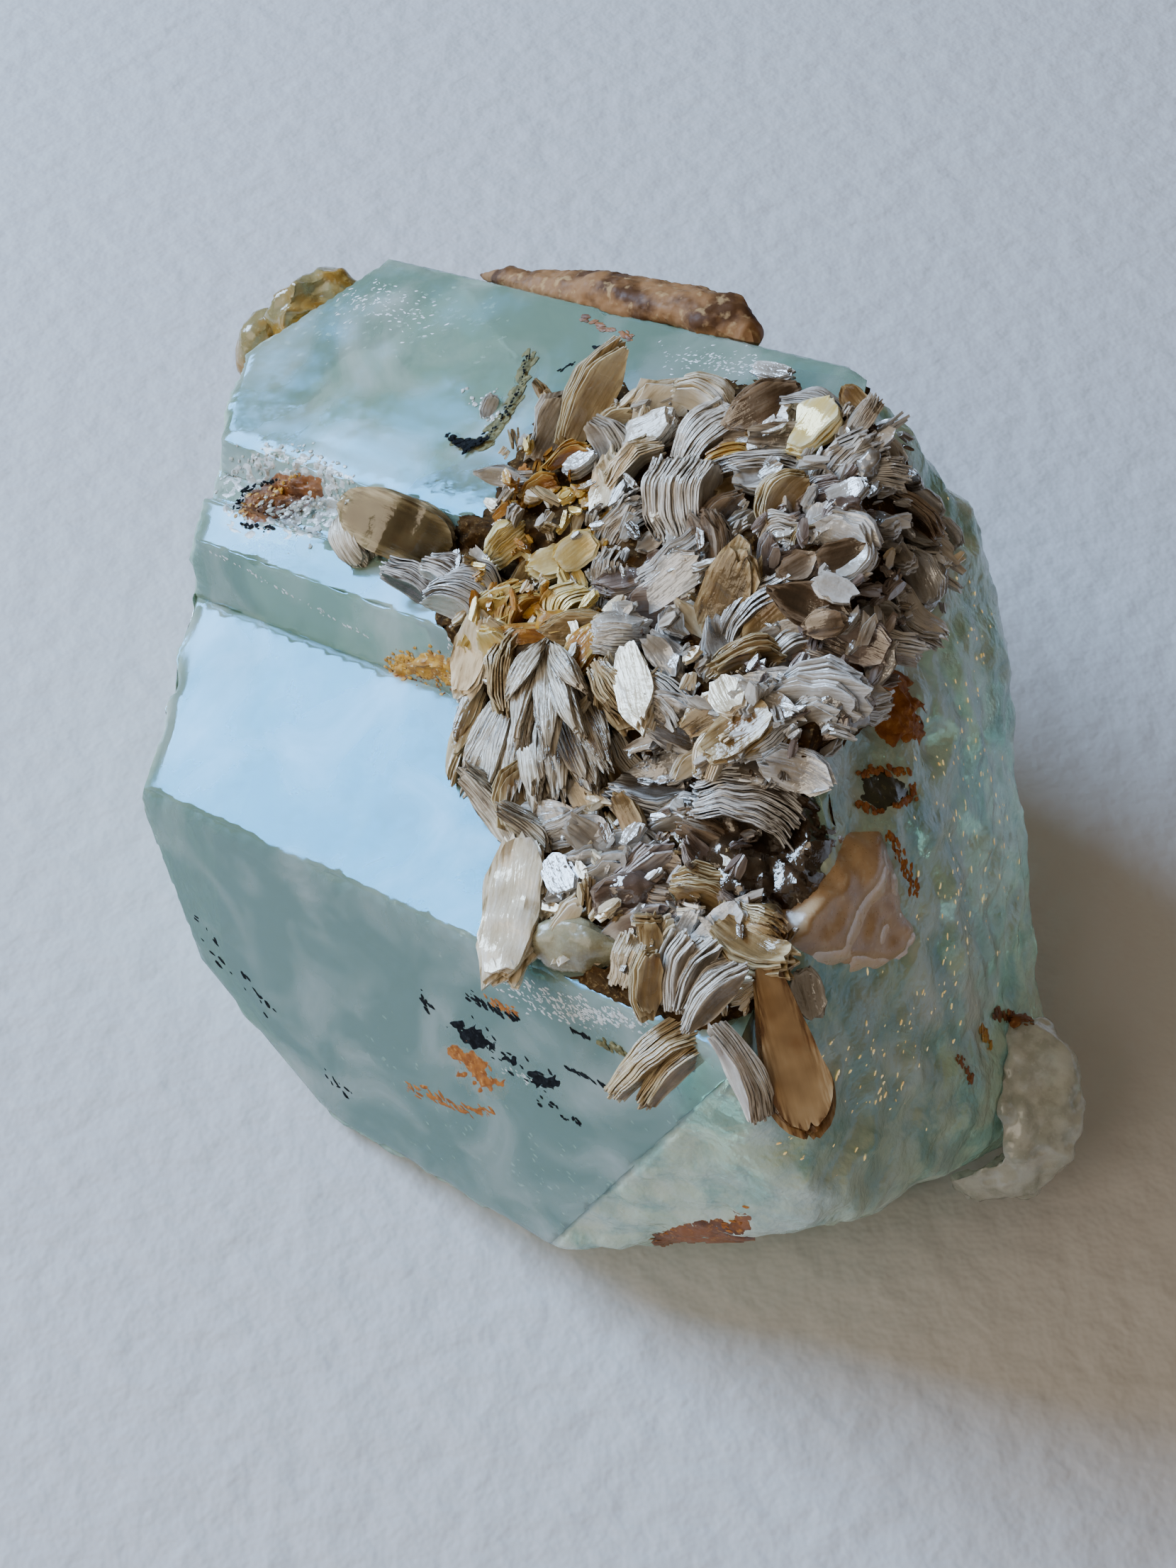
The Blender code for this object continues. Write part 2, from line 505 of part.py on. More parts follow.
def clearance(shape):
    """Returns a book or grain that is larger by the gap on every side."""
    if isinstance(shape, Book):
        return shape._replace(length=shape.length + 2 * GAP, width=shape.width + 2 * GAP,
                              thick=shape.thick + 2 * GAP)
    return shape._replace(length=shape.length + 2 * GAP, depth=shape.depth + 2 * GAP,
                          height=shape.height + 2 * GAP)


def flake_bed(crystal, name, extra):
    """Builds the uncut flake bed, larger by extra: a shell over the crystal, inside the crust's outline."""
    bed = make_object(name, bed_column(1.0 + extra * BED_SPREAD), "bed")
    settle(bed)
    apply_boolean(bed, grown(crystal, GAP + BED_THICKNESS + extra), "INTERSECT")
    settle(bed)
    return bed


def nest(piece, crystal, on_bed, shapes):
    """Cuts a piece back to a gap from the crystal, the bed and every shape already placed."""
    apply_boolean(piece, grown(crystal, GAP), "DIFFERENCE")
    settle(piece)
    cutters = [make_object("cutter", blank_mesh(clearance(shape)), shape.finish) for shape in shapes]
    if on_bed:
        cutters.append(flake_bed(crystal, "cutter", GAP))
    for cutter in cutters:
        settle(cutter)
        if boxes_meet(piece, cutter):
            apply_boolean(piece, cutter, "DIFFERENCE")
            settle(piece)
        else:
            bpy.data.objects.remove(cutter)


def joined(name, blades):
    """Builds one solid of a single shape, or of several that grew into each other."""
    whole = make_object(name, blank_mesh(blades[0]), blades[0].finish)
    settle(whole)
    for blade in blades[1:]:
        other = make_object("blade", blank_mesh(blade), blade.finish)
        settle(other)
        apply_boolean(whole, other, "UNION")
        settle(whole)
    return whole


def centre_on_foot(pieces):
    """Moves every piece so that the origin is the middle of the foot of their common box."""
    boxes = [box_of(piece) for piece in pieces]
    low = [min(low[axis] for low, _ in boxes) for axis in range(3)]
    high = [max(high[axis] for _, high in boxes) for axis in range(3)]
    move = Vector((-(low[0] + high[0]) / 2, -(low[1] + high[1]) / 2, -low[2]))
    for piece in pieces:
        piece.data.transform(Matrix.Translation(move))


def build():
    """Builds the crystal, the rock grains on it, the flake bed, and then each book and grain in it."""
    for item in list(bpy.data.objects):
        bpy.data.objects.remove(item)
    crystal = make_object("aquamarine_crystal", crystal_mesh(), "beryl")
    settle(crystal)
    pieces = [crystal]
    shapes = []
    for grain in ROCK_GRAINS:
        pieces.append(joined(grain.name, (grain,)))
        nest(pieces[-1], crystal, False, shapes)
        shapes.append(grain)
    pieces.append(flake_bed(crystal, "mica_bed", 0.0))
    nest(pieces[-1], crystal, False, shapes)
    crust = [("mica_fan", FAN_BLADES), ("small_mica_fan", SMALL_FAN_BLADES), ("crossed_blades", CROSSED_BLADES)]
    crust += [(shape.name, (shape,)) for shape in BOOKS + CRUST_GRAINS]
    for name, members in crust:
        pieces.append(joined(name, members))
        nest(pieces[-1], crystal, True, shapes)
        shapes.extend(members)
    centre_on_foot(pieces)
    for piece in pieces:
        piece.data.transform(Matrix.Scale(MM, 4))


if __name__ == "__main__":
    build()
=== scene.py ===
"""The looks of an aquamarine specimen: a beryl crystal on its side under a crust of mica books.

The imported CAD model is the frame. Every piece here stands for one or more of its nodes, or lies on
them. Shapes are worked out in millimetres and scaled to metres when a piece is made. Places on the
show side are given as (across, down) steps of the 1659 x 2212 view, and land on the surface there.
"""
import logging
import math
import random
from dataclasses import dataclass, field
from enum import Enum
from functools import cache
from typing import Any, Iterable, Sequence

import bmesh
import bpy
from mathutils import Matrix, Vector, noise
from mathutils.bvhtree import BVHTree


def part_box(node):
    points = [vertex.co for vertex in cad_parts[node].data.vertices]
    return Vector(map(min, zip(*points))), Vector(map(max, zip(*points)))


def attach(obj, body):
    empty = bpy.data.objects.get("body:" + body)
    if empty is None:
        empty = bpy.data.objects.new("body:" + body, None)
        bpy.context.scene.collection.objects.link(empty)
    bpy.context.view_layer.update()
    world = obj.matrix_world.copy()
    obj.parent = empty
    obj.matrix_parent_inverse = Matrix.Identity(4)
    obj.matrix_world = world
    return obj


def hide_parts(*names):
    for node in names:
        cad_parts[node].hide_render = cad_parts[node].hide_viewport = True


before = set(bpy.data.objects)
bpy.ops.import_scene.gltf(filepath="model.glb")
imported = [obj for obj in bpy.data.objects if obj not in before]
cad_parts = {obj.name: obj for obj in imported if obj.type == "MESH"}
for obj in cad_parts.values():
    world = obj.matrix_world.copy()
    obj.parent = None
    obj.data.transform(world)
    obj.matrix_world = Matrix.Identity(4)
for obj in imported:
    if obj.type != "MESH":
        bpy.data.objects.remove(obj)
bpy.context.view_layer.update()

LOG = logging.getLogger("aquamarine_specimen")
MM = 0.001
FIRST_BOOK_SEED = 100
FIRST_PLACED_SEED = 700
NOISE_SEED = 1795472253         # any fixed seed repeats; this one was chosen for the facets that it gives
Colour = tuple[float, float, float, float]
Points = tuple[tuple[float, float], ...]     # a line or an outline, in view steps


# ------------------------------------------------------------------ colours and nodes
def linear(code: str) -> Colour:
    """Turns an sRGB hex colour into a linear one.

    Args:
        code: Six hex digits after a hash.

    Returns:
        Red, green and blue, linear, and an alpha of 1.
    """
    channels = [int(code[start:start + 2], 16) / 255 for start in (1, 3, 5)]
    red, green, blue = [c / 12.92 if c <= 0.04045 else ((c + 0.055) / 1.055) ** 2.4 for c in channels]
    return red, green, blue, 1.0


def add_node(tree: bpy.types.NodeTree, kind: str, settings: dict[Any, Any] | None = None,
             links: dict[Any, bpy.types.NodeSocket] | None = None) -> bpy.types.Node:
    """Adds one node with its settings and links.

    Args:
        tree: The node tree to add to.
        kind: The node's type name, without "ShaderNode" before it.
        settings: Attribute names, input names or input numbers, each with its value. The key "stops"
            holds a colour ramp's positions and colours.
        links: Input names or numbers, each with the output socket that feeds it.

    Returns:
        The new node.
    """
    node = tree.nodes.new("ShaderNode" + kind)
    for key, value in (settings or {}).items():
        if key == "stops":
            ramp = node.color_ramp
            for index, (place, colour) in enumerate(value):
                stop = ramp.elements[index] if index < len(ramp.elements) else ramp.elements.new(place)
                stop.position, stop.color = place, colour
        elif isinstance(key, int) or key in node.inputs:
            node.inputs[key].default_value = value
        else:
            setattr(node, key, value)
    for key, socket in (links or {}).items():
        tree.links.new(socket, node.inputs[key])
    return node


def new_material(name: str) -> tuple[bpy.types.Material, bpy.types.NodeTree]:
    """Makes an empty node material and returns it with its tree."""
    material = bpy.data.materials.new(name)
    material.use_nodes = True
    material.node_tree.nodes.clear()
    return material, material.node_tree


# ------------------------------------------------------------------ the view of the show side
@dataclass(frozen=True)
class ShowView:
    """The camera's stand: where the show side is seen from, and where its view steps land."""

    elevation: float = 52.0                                  # degrees above level
    distance: float = 145.0                                  # mm from the target
    target: tuple[float, float, float] = (-0.92, -7.48, 20.0)
    field_mm: float = 78.0                                   # width of the view at the target
    steps: tuple[int, int] = (1659, 2212)
    sensor_mm: float = 36.0

    @property
    def towards(self) -> Vector:
        """Direction from the target to the eye."""
        tilt = math.radians(self.elevation)
        return Vector((0.0, -math.cos(tilt), math.sin(tilt)))

    @property
    def up(self) -> Vector:
        """Upward direction in the view."""
        tilt = math.radians(self.elevation)
        return Vector((0.0, math.sin(tilt), math.cos(tilt)))

    @property
    def eye(self) -> Vector:
        """The eye's place, in mm."""
        return Vector(self.target) + self.towards * self.distance

    @property
    def lens_mm(self) -> float:
        """Focal length that gives the field on the view's taller side."""
        return self.sensor_mm * self.distance / (self.field_mm * self.steps[1] / self.steps[0])

    def direction(self, turn: float) -> Vector:
        """Returns the direction in the view that is turned by an angle, in radians, from its right side."""
        return Vector((math.cos(turn), 0, 0)) + self.up * math.sin(turn)

    def ray(self, across: float, down: float) -> Vector:
        """Returns the direction from the eye through a view step."""
        scale = self.field_mm / self.distance / self.steps[0]
        flat = (Vector((1, 0, 0)) * (across - self.steps[0] / 2) - self.up * (down - self.steps[1] / 2)) * scale
        return (flat - self.towards).normalized()

    def hit(self, ground: Sequence[BVHTree], across: float, down: float) -> tuple[Vector, Vector] | None:
        """Drops a view step onto the nearest of several surfaces.

        Args:
            ground: The surfaces' trees, in mm.
            across: Steps from the view's left side.
            down: Steps from its top.

        Returns:
            The point and the surface normal there, or None where the ray meets nothing.
        """
        best = None
        for tree in ground:
            point, normal, _, far = tree.ray_cast(self.eye, self.ray(across, down))
            if point is not None and (best is None or far < best[2]):
                best = (point, normal, far)
        return None if best is None else (best[0], best[1])

    def steps_of(self, point: Vector) -> tuple[float, float]:
        """Returns the view step at which a point in mm is seen."""
        offset = point - self.eye
        depth = -offset.dot(self.towards)
        scale = self.steps[0] * self.distance / self.field_mm / depth
        return self.steps[0] / 2 + offset.x * scale, self.steps[1] / 2 - offset.dot(self.up) * scale


VIEW = ShowView()


# ------------------------------------------------------------------ the crystal's own directions
@dataclass(frozen=True)
class CrystalAxes:
    """How the hexagonal prism lies: heading and plunge of its long axis, and its roll about it."""

    heading: float = -37.0
    plunge: float = 14.5
    roll: float = 17.0

    def vectors(self) -> tuple[Vector, Vector, Vector]:
        """Returns the long axis, the direction across the upper face, and that face's normal."""
        level = Vector((math.cos(math.radians(self.heading)), math.sin(math.radians(self.heading)), 0))
        vertical = Vector((0, 0, 1))
        along = level * math.cos(math.radians(self.plunge)) + vertical * math.sin(math.radians(self.plunge))
        front = level.cross(vertical)
        upright = front.cross(along)
        if upright.z < 0:
            upright.negate()
        normal = upright * math.cos(math.radians(self.roll)) + front * math.sin(math.radians(self.roll))
        return along.normalized(), along.cross(normal).normalized(), normal.normalized()


ALONG, ACROSS, NORMAL = CrystalAxes().vectors()


# ------------------------------------------------------------------ finishes
@dataclass(frozen=True)
class BerylFinish:
    """Aquamarine, pale blue-green beryl: satin growth faces over a faintly milky, see-through body.

    The prism faces mirror a window softly, and the broken ends are rougher and a little greener.
    """

    name: str = "aquamarine_beryl"
    face: str = "#b9dac4"
    fracture: str = "#dff2d2"
    fracture_deep: str = "#aed0ba"
    veil: str = "#f0f5ee"
    depth_tint: str = "#b4dcc8"
    depth_density: float = 20.0
    ior: float = 1.577
    mirror: str = "#26ccff"          # the faces give back the light a little bluer than it comes

    def material(self) -> bpy.types.Material:
        """Builds the material."""
        material, tree = new_material(self.name)
        place = add_node(tree, "TexCoord").outputs["Object"]
        broken = add_node(tree, "Attribute", {"attribute_name": "fracture"}).outputs["Fac"]
        mottle = add_node(tree, "TexNoise", {
            "Scale": 1 / (3.4 * MM), "Detail": 6.0, "Roughness": 0.6, "Distortion": 0.6},
            {"Vector": place}).outputs[0]
        deeper = add_node(tree, "MapRange", {"From Min": 0.44, "From Max": 0.58}, {"Value": mottle}).outputs[0]
        break_tone = add_node(tree, "Mix", {
            "data_type": "RGBA", 6: linear(self.fracture), 7: linear(self.fracture_deep)}, {0: deeper}).outputs[2]
        tone = add_node(tree, "Mix", {"data_type": "RGBA", 6: linear(self.face)},
                        {0: broken, 7: break_tone}).outputs[2]
        milk = add_node(tree, "TexNoise", {"Scale": 1 / (8.0 * MM), "Detail": 7.0, "Distortion": 1.0},
                        {"Vector": place}).outputs[0]
        cloud = add_node(tree, "MapRange", {"From Min": 0.41, "From Max": 0.72, "To Max": 0.75},
                         {"Value": milk}).outputs[0]
        milky = add_node(tree, "Mix", {"data_type": "RGBA", 7: linear(self.veil)},
                         {0: cloud, 6: tone}).outputs[2]
        clear_face = add_node(tree, "MapRange", {"To Min": 0.72, "To Max": 0.5}, {"Value": cloud}).outputs[0]
        clear = add_node(tree, "Math", {"operation": "MULTIPLY_ADD", 1: -0.38}, {0: broken, 2: clear_face}).outputs[0]
        fine = add_node(tree, "TexNoise", {"Scale": 1 / (0.5 * MM), "Detail": 4.0}, {"Vector": place}).outputs[0]
        coarse = add_node(tree, "TexNoise", {"Scale": 1 / (2.4 * MM), "Detail": 3.0}, {"Vector": place}).outputs[0]
        shells = add_node(tree, "TexNoise", {
            "noise_type": "RIDGED_MULTIFRACTAL", "Scale": 1 / (4.5 * MM), "Detail": 4.0, "Distortion": 0.8},
            {"Vector": place}).outputs[0]
        etched = add_node(tree, "TexNoise", {"Scale": 1 / (7.0 * MM), "Detail": 5.0, "Roughness": 0.6},
                          {"Vector": place}).outputs[0]
        satin = add_node(tree, "MapRange", {"From Min": 0.40, "From Max": 0.66, "To Min": 0.05, "To Max": 0.24},
                         {"Value": etched}).outputs[0]
        rough = add_node(tree, "Math", {"operation": "MULTIPLY_ADD", 1: 0.05}, {0: broken, 2: satin}).outputs[0]
        shelled = add_node(tree, "Math", {"operation": "MULTIPLY_ADD", 1: 0.8}, {0: shells, 2: coarse}).outputs[0]
        height = add_node(tree, "Math", {"operation": "MULTIPLY_ADD", 1: 0.3}, {0: fine, 2: shelled}).outputs[0]
        push = add_node(tree, "MapRange", {"To Min": 0.035, "To Max": 0.9}, {"Value": broken}).outputs[0]
        bump = add_node(tree, "Bump", {"Distance": 0.4 * MM}, {"Height": height, "Strength": push}).outputs[0]
        shader = add_node(tree, "BsdfPrincipled", {
            "IOR": self.ior, "Specular IOR Level": 1.0, "Specular Tint": linear(self.mirror), "Metallic": 0.0},
            {"Base Color": milky, "Roughness": rough, "Normal": bump, "Transmission Weight": clear})
        depth = add_node(tree, "VolumeAbsorption", {
            "Color": linear(self.depth_tint), "Density": self.depth_density})
        add_node(tree, "OutputMaterial", None, {"Surface": shader.outputs[0], "Volume": depth.outputs[0]})
        return material


@dataclass(frozen=True)
class MicaFinish:
    """Muscovite mica in books: pearly sheets whose stacked edges show as fine fibrous ribs.

    Each sheet has its own tone, a painted highlight lightens its rim, and iron has stained some sheets.
    """

    name: str
    dark: str
    middle: str
    light: str
    stain: str = "#8a4a14"
    stained: float = 0.15
    roughness: float = 0.26
    pearl: float = 0.45
    # painted highlight that lightens the sheets' rims in the base colour; below zero it paints them darker
    painted_rim_highlight: float = 0.25
    face_streaks: float = 0.15       # how strongly the fibres show on the sheets' faces
    lustre: float = 1.6              # raised where many sheets reflect one behind another
    glow: str = "#fff4e4"            # tint of what the sheets give back
    clear: float = 0.15
    fibre_mm: float = 0.09
    fibrous: float = 0.8             # height of the fibres against the crinkles
    crinkle_mm: float = 0.6
    relief: float = 0.75

    def material(self) -> bpy.types.Material:
        """Builds the material."""
        material, tree = new_material(self.name)
        place = add_node(tree, "TexCoord").outputs["Object"]
        sheet = add_node(tree, "Attribute", {"attribute_name": "sheet"}).outputs["Vector"]
        tint = add_node(tree, "Attribute", {"attribute_name": "tint"}).outputs["Fac"]
        rim = add_node(tree, "Attribute", {"attribute_name": "rim"}).outputs["Fac"]
        drawn = add_node(tree, "Mapping", {"Scale": (0.5, 1.0 / self.fibre_mm * 0.35, 1.0 / self.fibre_mm)},
                         {"Vector": sheet}).outputs[0]
        fibres = add_node(tree, "TexNoise", {"Scale": 1.0, "Detail": 3.0}, {"Vector": drawn}).outputs[0]
        blotch = add_node(tree, "TexNoise", {"Scale": 1 / (2.0 * MM), "Detail": 2.0}, {"Vector": place}).outputs[0]
        crinkle = add_node(tree, "TexNoise", {"Scale": 1 / (self.crinkle_mm * MM), "Detail": 3.0},
                           {"Vector": place}).outputs[0]
        iron = add_node(tree, "TexNoise", {"Scale": 1 / (2.2 * MM), "Detail": 4.0}, {"Vector": place}).outputs[0]
        drawn_out = add_node(tree, "MapRange", {"From Min": 0.3, "From Max": 0.7}, {"Value": fibres}).outputs[0]
        strength = add_node(tree, "MapRange", {"To Min": self.face_streaks, "To Max": 1.0}, {"Value": rim}).outputs[0]
        centred = add_node(tree, "Math", {"operation": "SUBTRACT", 1: 0.5}, {0: drawn_out}).outputs[0]
        ribbed = add_node(tree, "Math", {"operation": "MULTIPLY_ADD", 2: 0.5}, {0: centred, 1: strength}).outputs[0]
        clouded = add_node(tree, "MapRange", {"From Min": 0.3, "From Max": 0.7, "To Min": -0.13, "To Max": 0.13},
                           {"Value": blotch}).outputs[0]
        tinted = add_node(tree, "Math", {"operation": "MULTIPLY_ADD", 1: 0.36}, {0: tint, 2: clouded}).outputs[0]
        mixed = add_node(tree, "Math", {"operation": "ADD"}, {0: tinted, 1: ribbed}).outputs[0]
        # painted highlight: the rims are lifted towards the light tone
        painted_rim_lift = add_node(tree, "Math", {"operation": "MULTIPLY_ADD", 1: self.painted_rim_highlight, 2: -0.2},
                          {0: rim}).outputs[0]
        level = add_node(tree, "Math", {"operation": "ADD"}, {0: mixed, 1: painted_rim_lift}).outputs[0]
        stops = (0.15, linear(self.dark)), (0.5, linear(self.middle)), (0.95, linear(self.light))
        tone = add_node(tree, "ValToRGB", {"stops": stops}, {"Fac": level}).outputs[0]
        patch = add_node(tree, "MapRange", {"From Min": 0.56, "From Max": 0.72, "To Max": 1.0},
                         {"Value": iron}).outputs[0]
        amount = add_node(tree, "Math", {"operation": "MULTIPLY", 1: self.stained}, {0: patch}).outputs[0]
        colour = add_node(tree, "Mix", {"data_type": "RGBA", 7: linear(self.stain)},
                          {0: amount, 6: tone}).outputs[2]
        rough = add_node(tree, "MapRange", {
            "From Min": 0.3, "From Max": 0.7, "To Min": self.roughness * 0.7, "To Max": self.roughness * 1.5},
            {"Value": blotch}).outputs[0]
        height = add_node(tree, "Math", {"operation": "MULTIPLY_ADD", 1: self.fibrous},
                          {0: fibres, 2: crinkle}).outputs[0]
        bump = add_node(tree, "Bump", {"Distance": 0.11 * MM, "Strength": self.relief}, {"Height": height}).outputs[0]
        shader = add_node(tree, "BsdfPrincipled", {
            "IOR": self.lustre, "Specular Tint": linear(self.glow), "Transmission Weight": self.clear,
            "Coat Weight": self.pearl, "Coat Roughness": 0.12, "Metallic": 0.0},
            {"Base Color": colour, "Roughness": rough, "Normal": bump, "Coat Normal": bump})
        add_node(tree, "OutputMaterial", None, {"Surface": shader.outputs[0]})
        return material


@dataclass(frozen=True)
class GrainFinish:
    """A massive mineral or a stain on it: a body colour, blotches of another, and specks."""

    name: str
    body: str
    blotch: str
    speck: str
    blotch_mm: float = 1.6
    speck_mm: float = 0.35
    blotched: float = 0.7
    specked: float = 0.5
    roughness: float = 0.45
    gloss: float = 0.1
    clear: float = 0.0
    ior: float = 1.54
    relief_mm: float = 0.12
    painted_glow: float = 0.0               # emitted glow, a painted sparkle for light that cracks behind it give back

    def material(self) -> bpy.types.Material:
        """Builds the material."""
        material, tree = new_material(self.name)
        place = add_node(tree, "TexCoord").outputs["Object"]
        wide = add_node(tree, "TexNoise", {"Scale": 1 / (self.blotch_mm * MM), "Detail": 4.0},
                        {"Vector": place}).outputs[0]
        fine = add_node(tree, "TexNoise", {"Scale": 1 / (self.speck_mm * MM), "Detail": 3.0},
                        {"Vector": place}).outputs[0]
        where = add_node(tree, "MapRange", {"From Min": 0.44, "From Max": 0.6, "To Max": self.blotched},
                         {"Value": wide}).outputs[0]
        tone = add_node(tree, "Mix", {"data_type": "RGBA", 6: linear(self.body), 7: linear(self.blotch)},
                        {0: where}).outputs[2]
        dots = add_node(tree, "MapRange", {"From Min": 0.58, "From Max": 0.68, "To Max": self.specked},
                        {"Value": fine}).outputs[0]
        colour = add_node(tree, "Mix", {"data_type": "RGBA", 7: linear(self.speck)}, {0: dots, 6: tone}).outputs[2]
        dullest = min(1.0, self.roughness * 1.35)
        rough = add_node(tree, "MapRange", {
            "From Min": 0.3, "From Max": 0.7, "To Min": self.roughness * 0.75, "To Max": dullest},
            {"Value": fine}).outputs[0]
        height = add_node(tree, "Math", {"operation": "MULTIPLY_ADD", 1: 0.4}, {0: fine, 2: wide}).outputs[0]
        bump = add_node(tree, "Bump", {"Distance": self.relief_mm * MM, "Strength": 0.6},
                        {"Height": height}).outputs[0]
        # the emission is a painted glow in the grain's own colour
        shader = add_node(tree, "BsdfPrincipled", {
            "IOR": self.ior, "Transmission Weight": self.clear, "Coat Weight": self.gloss, "Coat Roughness": 0.15,
            "Metallic": 0.0, "Emission Strength": self.painted_glow},
            {"Base Color": colour, "Emission Color": colour, "Roughness": rough, "Normal": bump})
        add_node(tree, "OutputMaterial", None, {"Surface": shader.outputs[0]})
        return material


class Mica(Enum):
    """The mica finishes found in the crust."""

    GREY = MicaFinish("muscovite_grey", "#33291f", "#a09484", "#efe8dc", stained=0.22, roughness=0.2, pearl=0.6,
                      clear=0.25)
    SILKY = MicaFinish("muscovite_silky", "#4a3b29", "#b2a48c", "#f8f1e0", stained=0.18, roughness=0.2, pearl=0.7,
                       painted_rim_highlight=0.0, face_streaks=1.0, lustre=1.8, clear=0.15, fibre_mm=0.045, fibrous=2.2)
    TAN = MicaFinish("muscovite_tan", "#3a2914", "#9c8055", "#e3cfa4", stained=0.25, roughness=0.2, clear=0.3)
    UMBER = MicaFinish("muscovite_smoky", "#160d07", "#5c4733", "#bda891", stained=0.15, roughness=0.14, pearl=0.9,
                       painted_rim_highlight=0.35, clear=0.45)
    OLIVE = MicaFinish("muscovite_olive", "#453921", "#84754f", "#c4b48c", stained=0.15, roughness=0.12, pearl=0.9,
                       painted_rim_highlight=0.3, face_streaks=0.05, clear=0.4, relief=0.3)
    CREAM = MicaFinish("muscovite_cream", "#94815f", "#eedfc0", "#fffaee", stained=0.06, roughness=0.18,
                       painted_rim_highlight=0.1, lustre=1.9, pearl=0.6, glow="#ffe6c0", clear=0.12, relief=0.6)
    GOLD = MicaFinish("muscovite_golden", "#8a6322", "#e9cb76", "#fff4c6", stained=0.08, roughness=0.18, pearl=0.5,
                      lustre=2.0, glow="#ffe39a", clear=0.2, relief=0.5)
    SILVER = MicaFinish("muscovite_silvery", "#4d463e", "#c4beb4", "#fbfcfc", stained=0.05, roughness=0.12, pearl=1.0,
                        lustre=2.0, glow="#ffffff", clear=0.35, crinkle_mm=0.45)
    CLEAR = MicaFinish("muscovite_clear", "#857a6c", "#ddd6ca", "#fdfcf9", stained=0.1, roughness=0.08, pearl=1.0,
                       lustre=2.0, glow="#ffffff", clear=0.4, relief=0.9)
    HONEY = MicaFinish("muscovite_honey", "#6a4626", "#a98457", "#d8bd92", stain="#8a4810", stained=0.35,
                       roughness=0.14, pearl=0.7, painted_rim_highlight=-0.1, face_streaks=0.04, clear=0.35, fibrous=0.2,
                       crinkle_mm=1.4, relief=0.35)
    PLUM = MicaFinish("muscovite_plum", "#3a2c28", "#9a877e", "#e8ddd6", stained=0.08, roughness=0.14, pearl=0.9,
                      clear=0.45, relief=0.6)
    RUSTY = MicaFinish("muscovite_rusty", "#4a2206", "#bd7c26", "#f6d47e", stain="#7a340a", stained=0.45,
                       roughness=0.18, clear=0.4)
    BLACK = MicaFinish("muscovite_black_ribbed", "#0c0907", "#5a5147", "#f2f2f0", stained=0.05, roughness=0.15,
                       pearl=0.9)


class Grain(Enum):
    """The massive minerals, stains and crumbs."""

    RUST = GrainFinish("rusty_feldspar", "#85501f", "#3a1e0c", "#bb8a55", roughness=0.6, gloss=0.05, relief_mm=0.2)
    BLADE = GrainFinish("iron_stained_feldspar", "#916944", "#452812", "#c9a878", roughness=0.58, gloss=0.0,
                        blotch_mm=2.4, speck_mm=0.9, blotched=0.9, specked=0.5, ior=1.3, relief_mm=0.15)
    OCHRE = GrainFinish("ochre_iron_stain", "#bd8c26", "#855210", "#f0e0ac", roughness=0.55, blotch_mm=0.7,
                        gloss=0.1)
    AMBER = GrainFinish("amber_feldspar", "#cf9f48", "#a8b08a", "#ead9a2", roughness=0.16, gloss=0.4, clear=0.6,
                        blotch_mm=2.6)
    QUARTZ = GrainFinish("pale_quartz", "#f0f3ec", "#bcc3b6", "#fcfcf9", roughness=0.14, gloss=0.4, clear=0.55,
                         blotch_mm=1.5, specked=0.4)
    DULL_QUARTZ = GrainFinish("olive_quartz", "#b5ae8e", "#8d8666", "#d8d3bb", roughness=0.25, gloss=0.3, clear=0.4,
                              blotch_mm=2.2, specked=0.2)
    FELDSPAR = GrainFinish("brownish_pink_feldspar", "#dcb88c", "#bd966c", "#ead6b6", roughness=0.32, gloss=0.25,
                           clear=0.25, relief_mm=0.06)
    BLACK = GrainFinish("black_oxide", "#15171a", "#22262a", "#454a4c", roughness=0.8, blotch_mm=0.5, specked=0.3,
                        gloss=0.0, ior=1.12)
    WHITE = GrainFinish("white_crumbs", "#dfe3e2", "#b7bdbb", "#f7f8f7", roughness=0.3, gloss=0.4, clear=0.2,
                        blotch_mm=0.6)
    ORANGE = GrainFinish("orange_iron_stain", "#a5682c", "#7a4318", "#cf9a5c", roughness=0.6, blotch_mm=0.6,
                         gloss=0.0, ior=1.3)
    OLIVE = GrainFinish("olive_vein", "#77734f", "#48452c", "#a5a07c", roughness=0.6, blotch_mm=0.5, gloss=0.0,
                        ior=1.25)
    PIT = GrainFinish("dark_olive_glass", "#3b3e24", "#1c1e11", "#6c6b44", roughness=0.2, gloss=0.5, clear=0.2,
                      blotch_mm=0.8)
    # dark brown: partly the ground's own colour, partly painted shade in the clefts between the books
    GROUND = GrainFinish("dark_mica_ground_and_painted_shade", "#453018", "#180f07", "#8a7049", roughness=0.8, gloss=0.0,
                         blotch_mm=1.0, speck_mm=0.3, relief_mm=0.3, ior=1.15)
    # pale gold glint crumbs that also glow: a painted sparkle
    GLINT = GrainFinish("golden_glint", "#f2d48c", "#dca650", "#fff6d8", roughness=0.15, gloss=1.0, blotch_mm=0.5,
                        painted_glow=0.55)


Finish = Mica | Grain | BerylFinish


@cache
def material_of(finish: Finish) -> bpy.types.Material:
    """Returns the finish's material, built the first time only."""
    recipe = finish.value if isinstance(finish, Enum) else finish
    return recipe.material()


# ------------------------------------------------------------------ meshes and pieces
def node_mesh(name: str) -> bmesh.types.BMesh:
    """Returns a merged copy of a CAD node's mesh, in mm."""
    bm = bmesh.new()
    bm.from_mesh(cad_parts[name].data)
    bmesh.ops.remove_doubles(bm, verts=bm.verts, dist=1e-6)
    bmesh.ops.scale(bm, verts=bm.verts, vec=(1 / MM,) * 3)
    bmesh.ops.recalc_face_normals(bm, faces=bm.faces)
    return bm


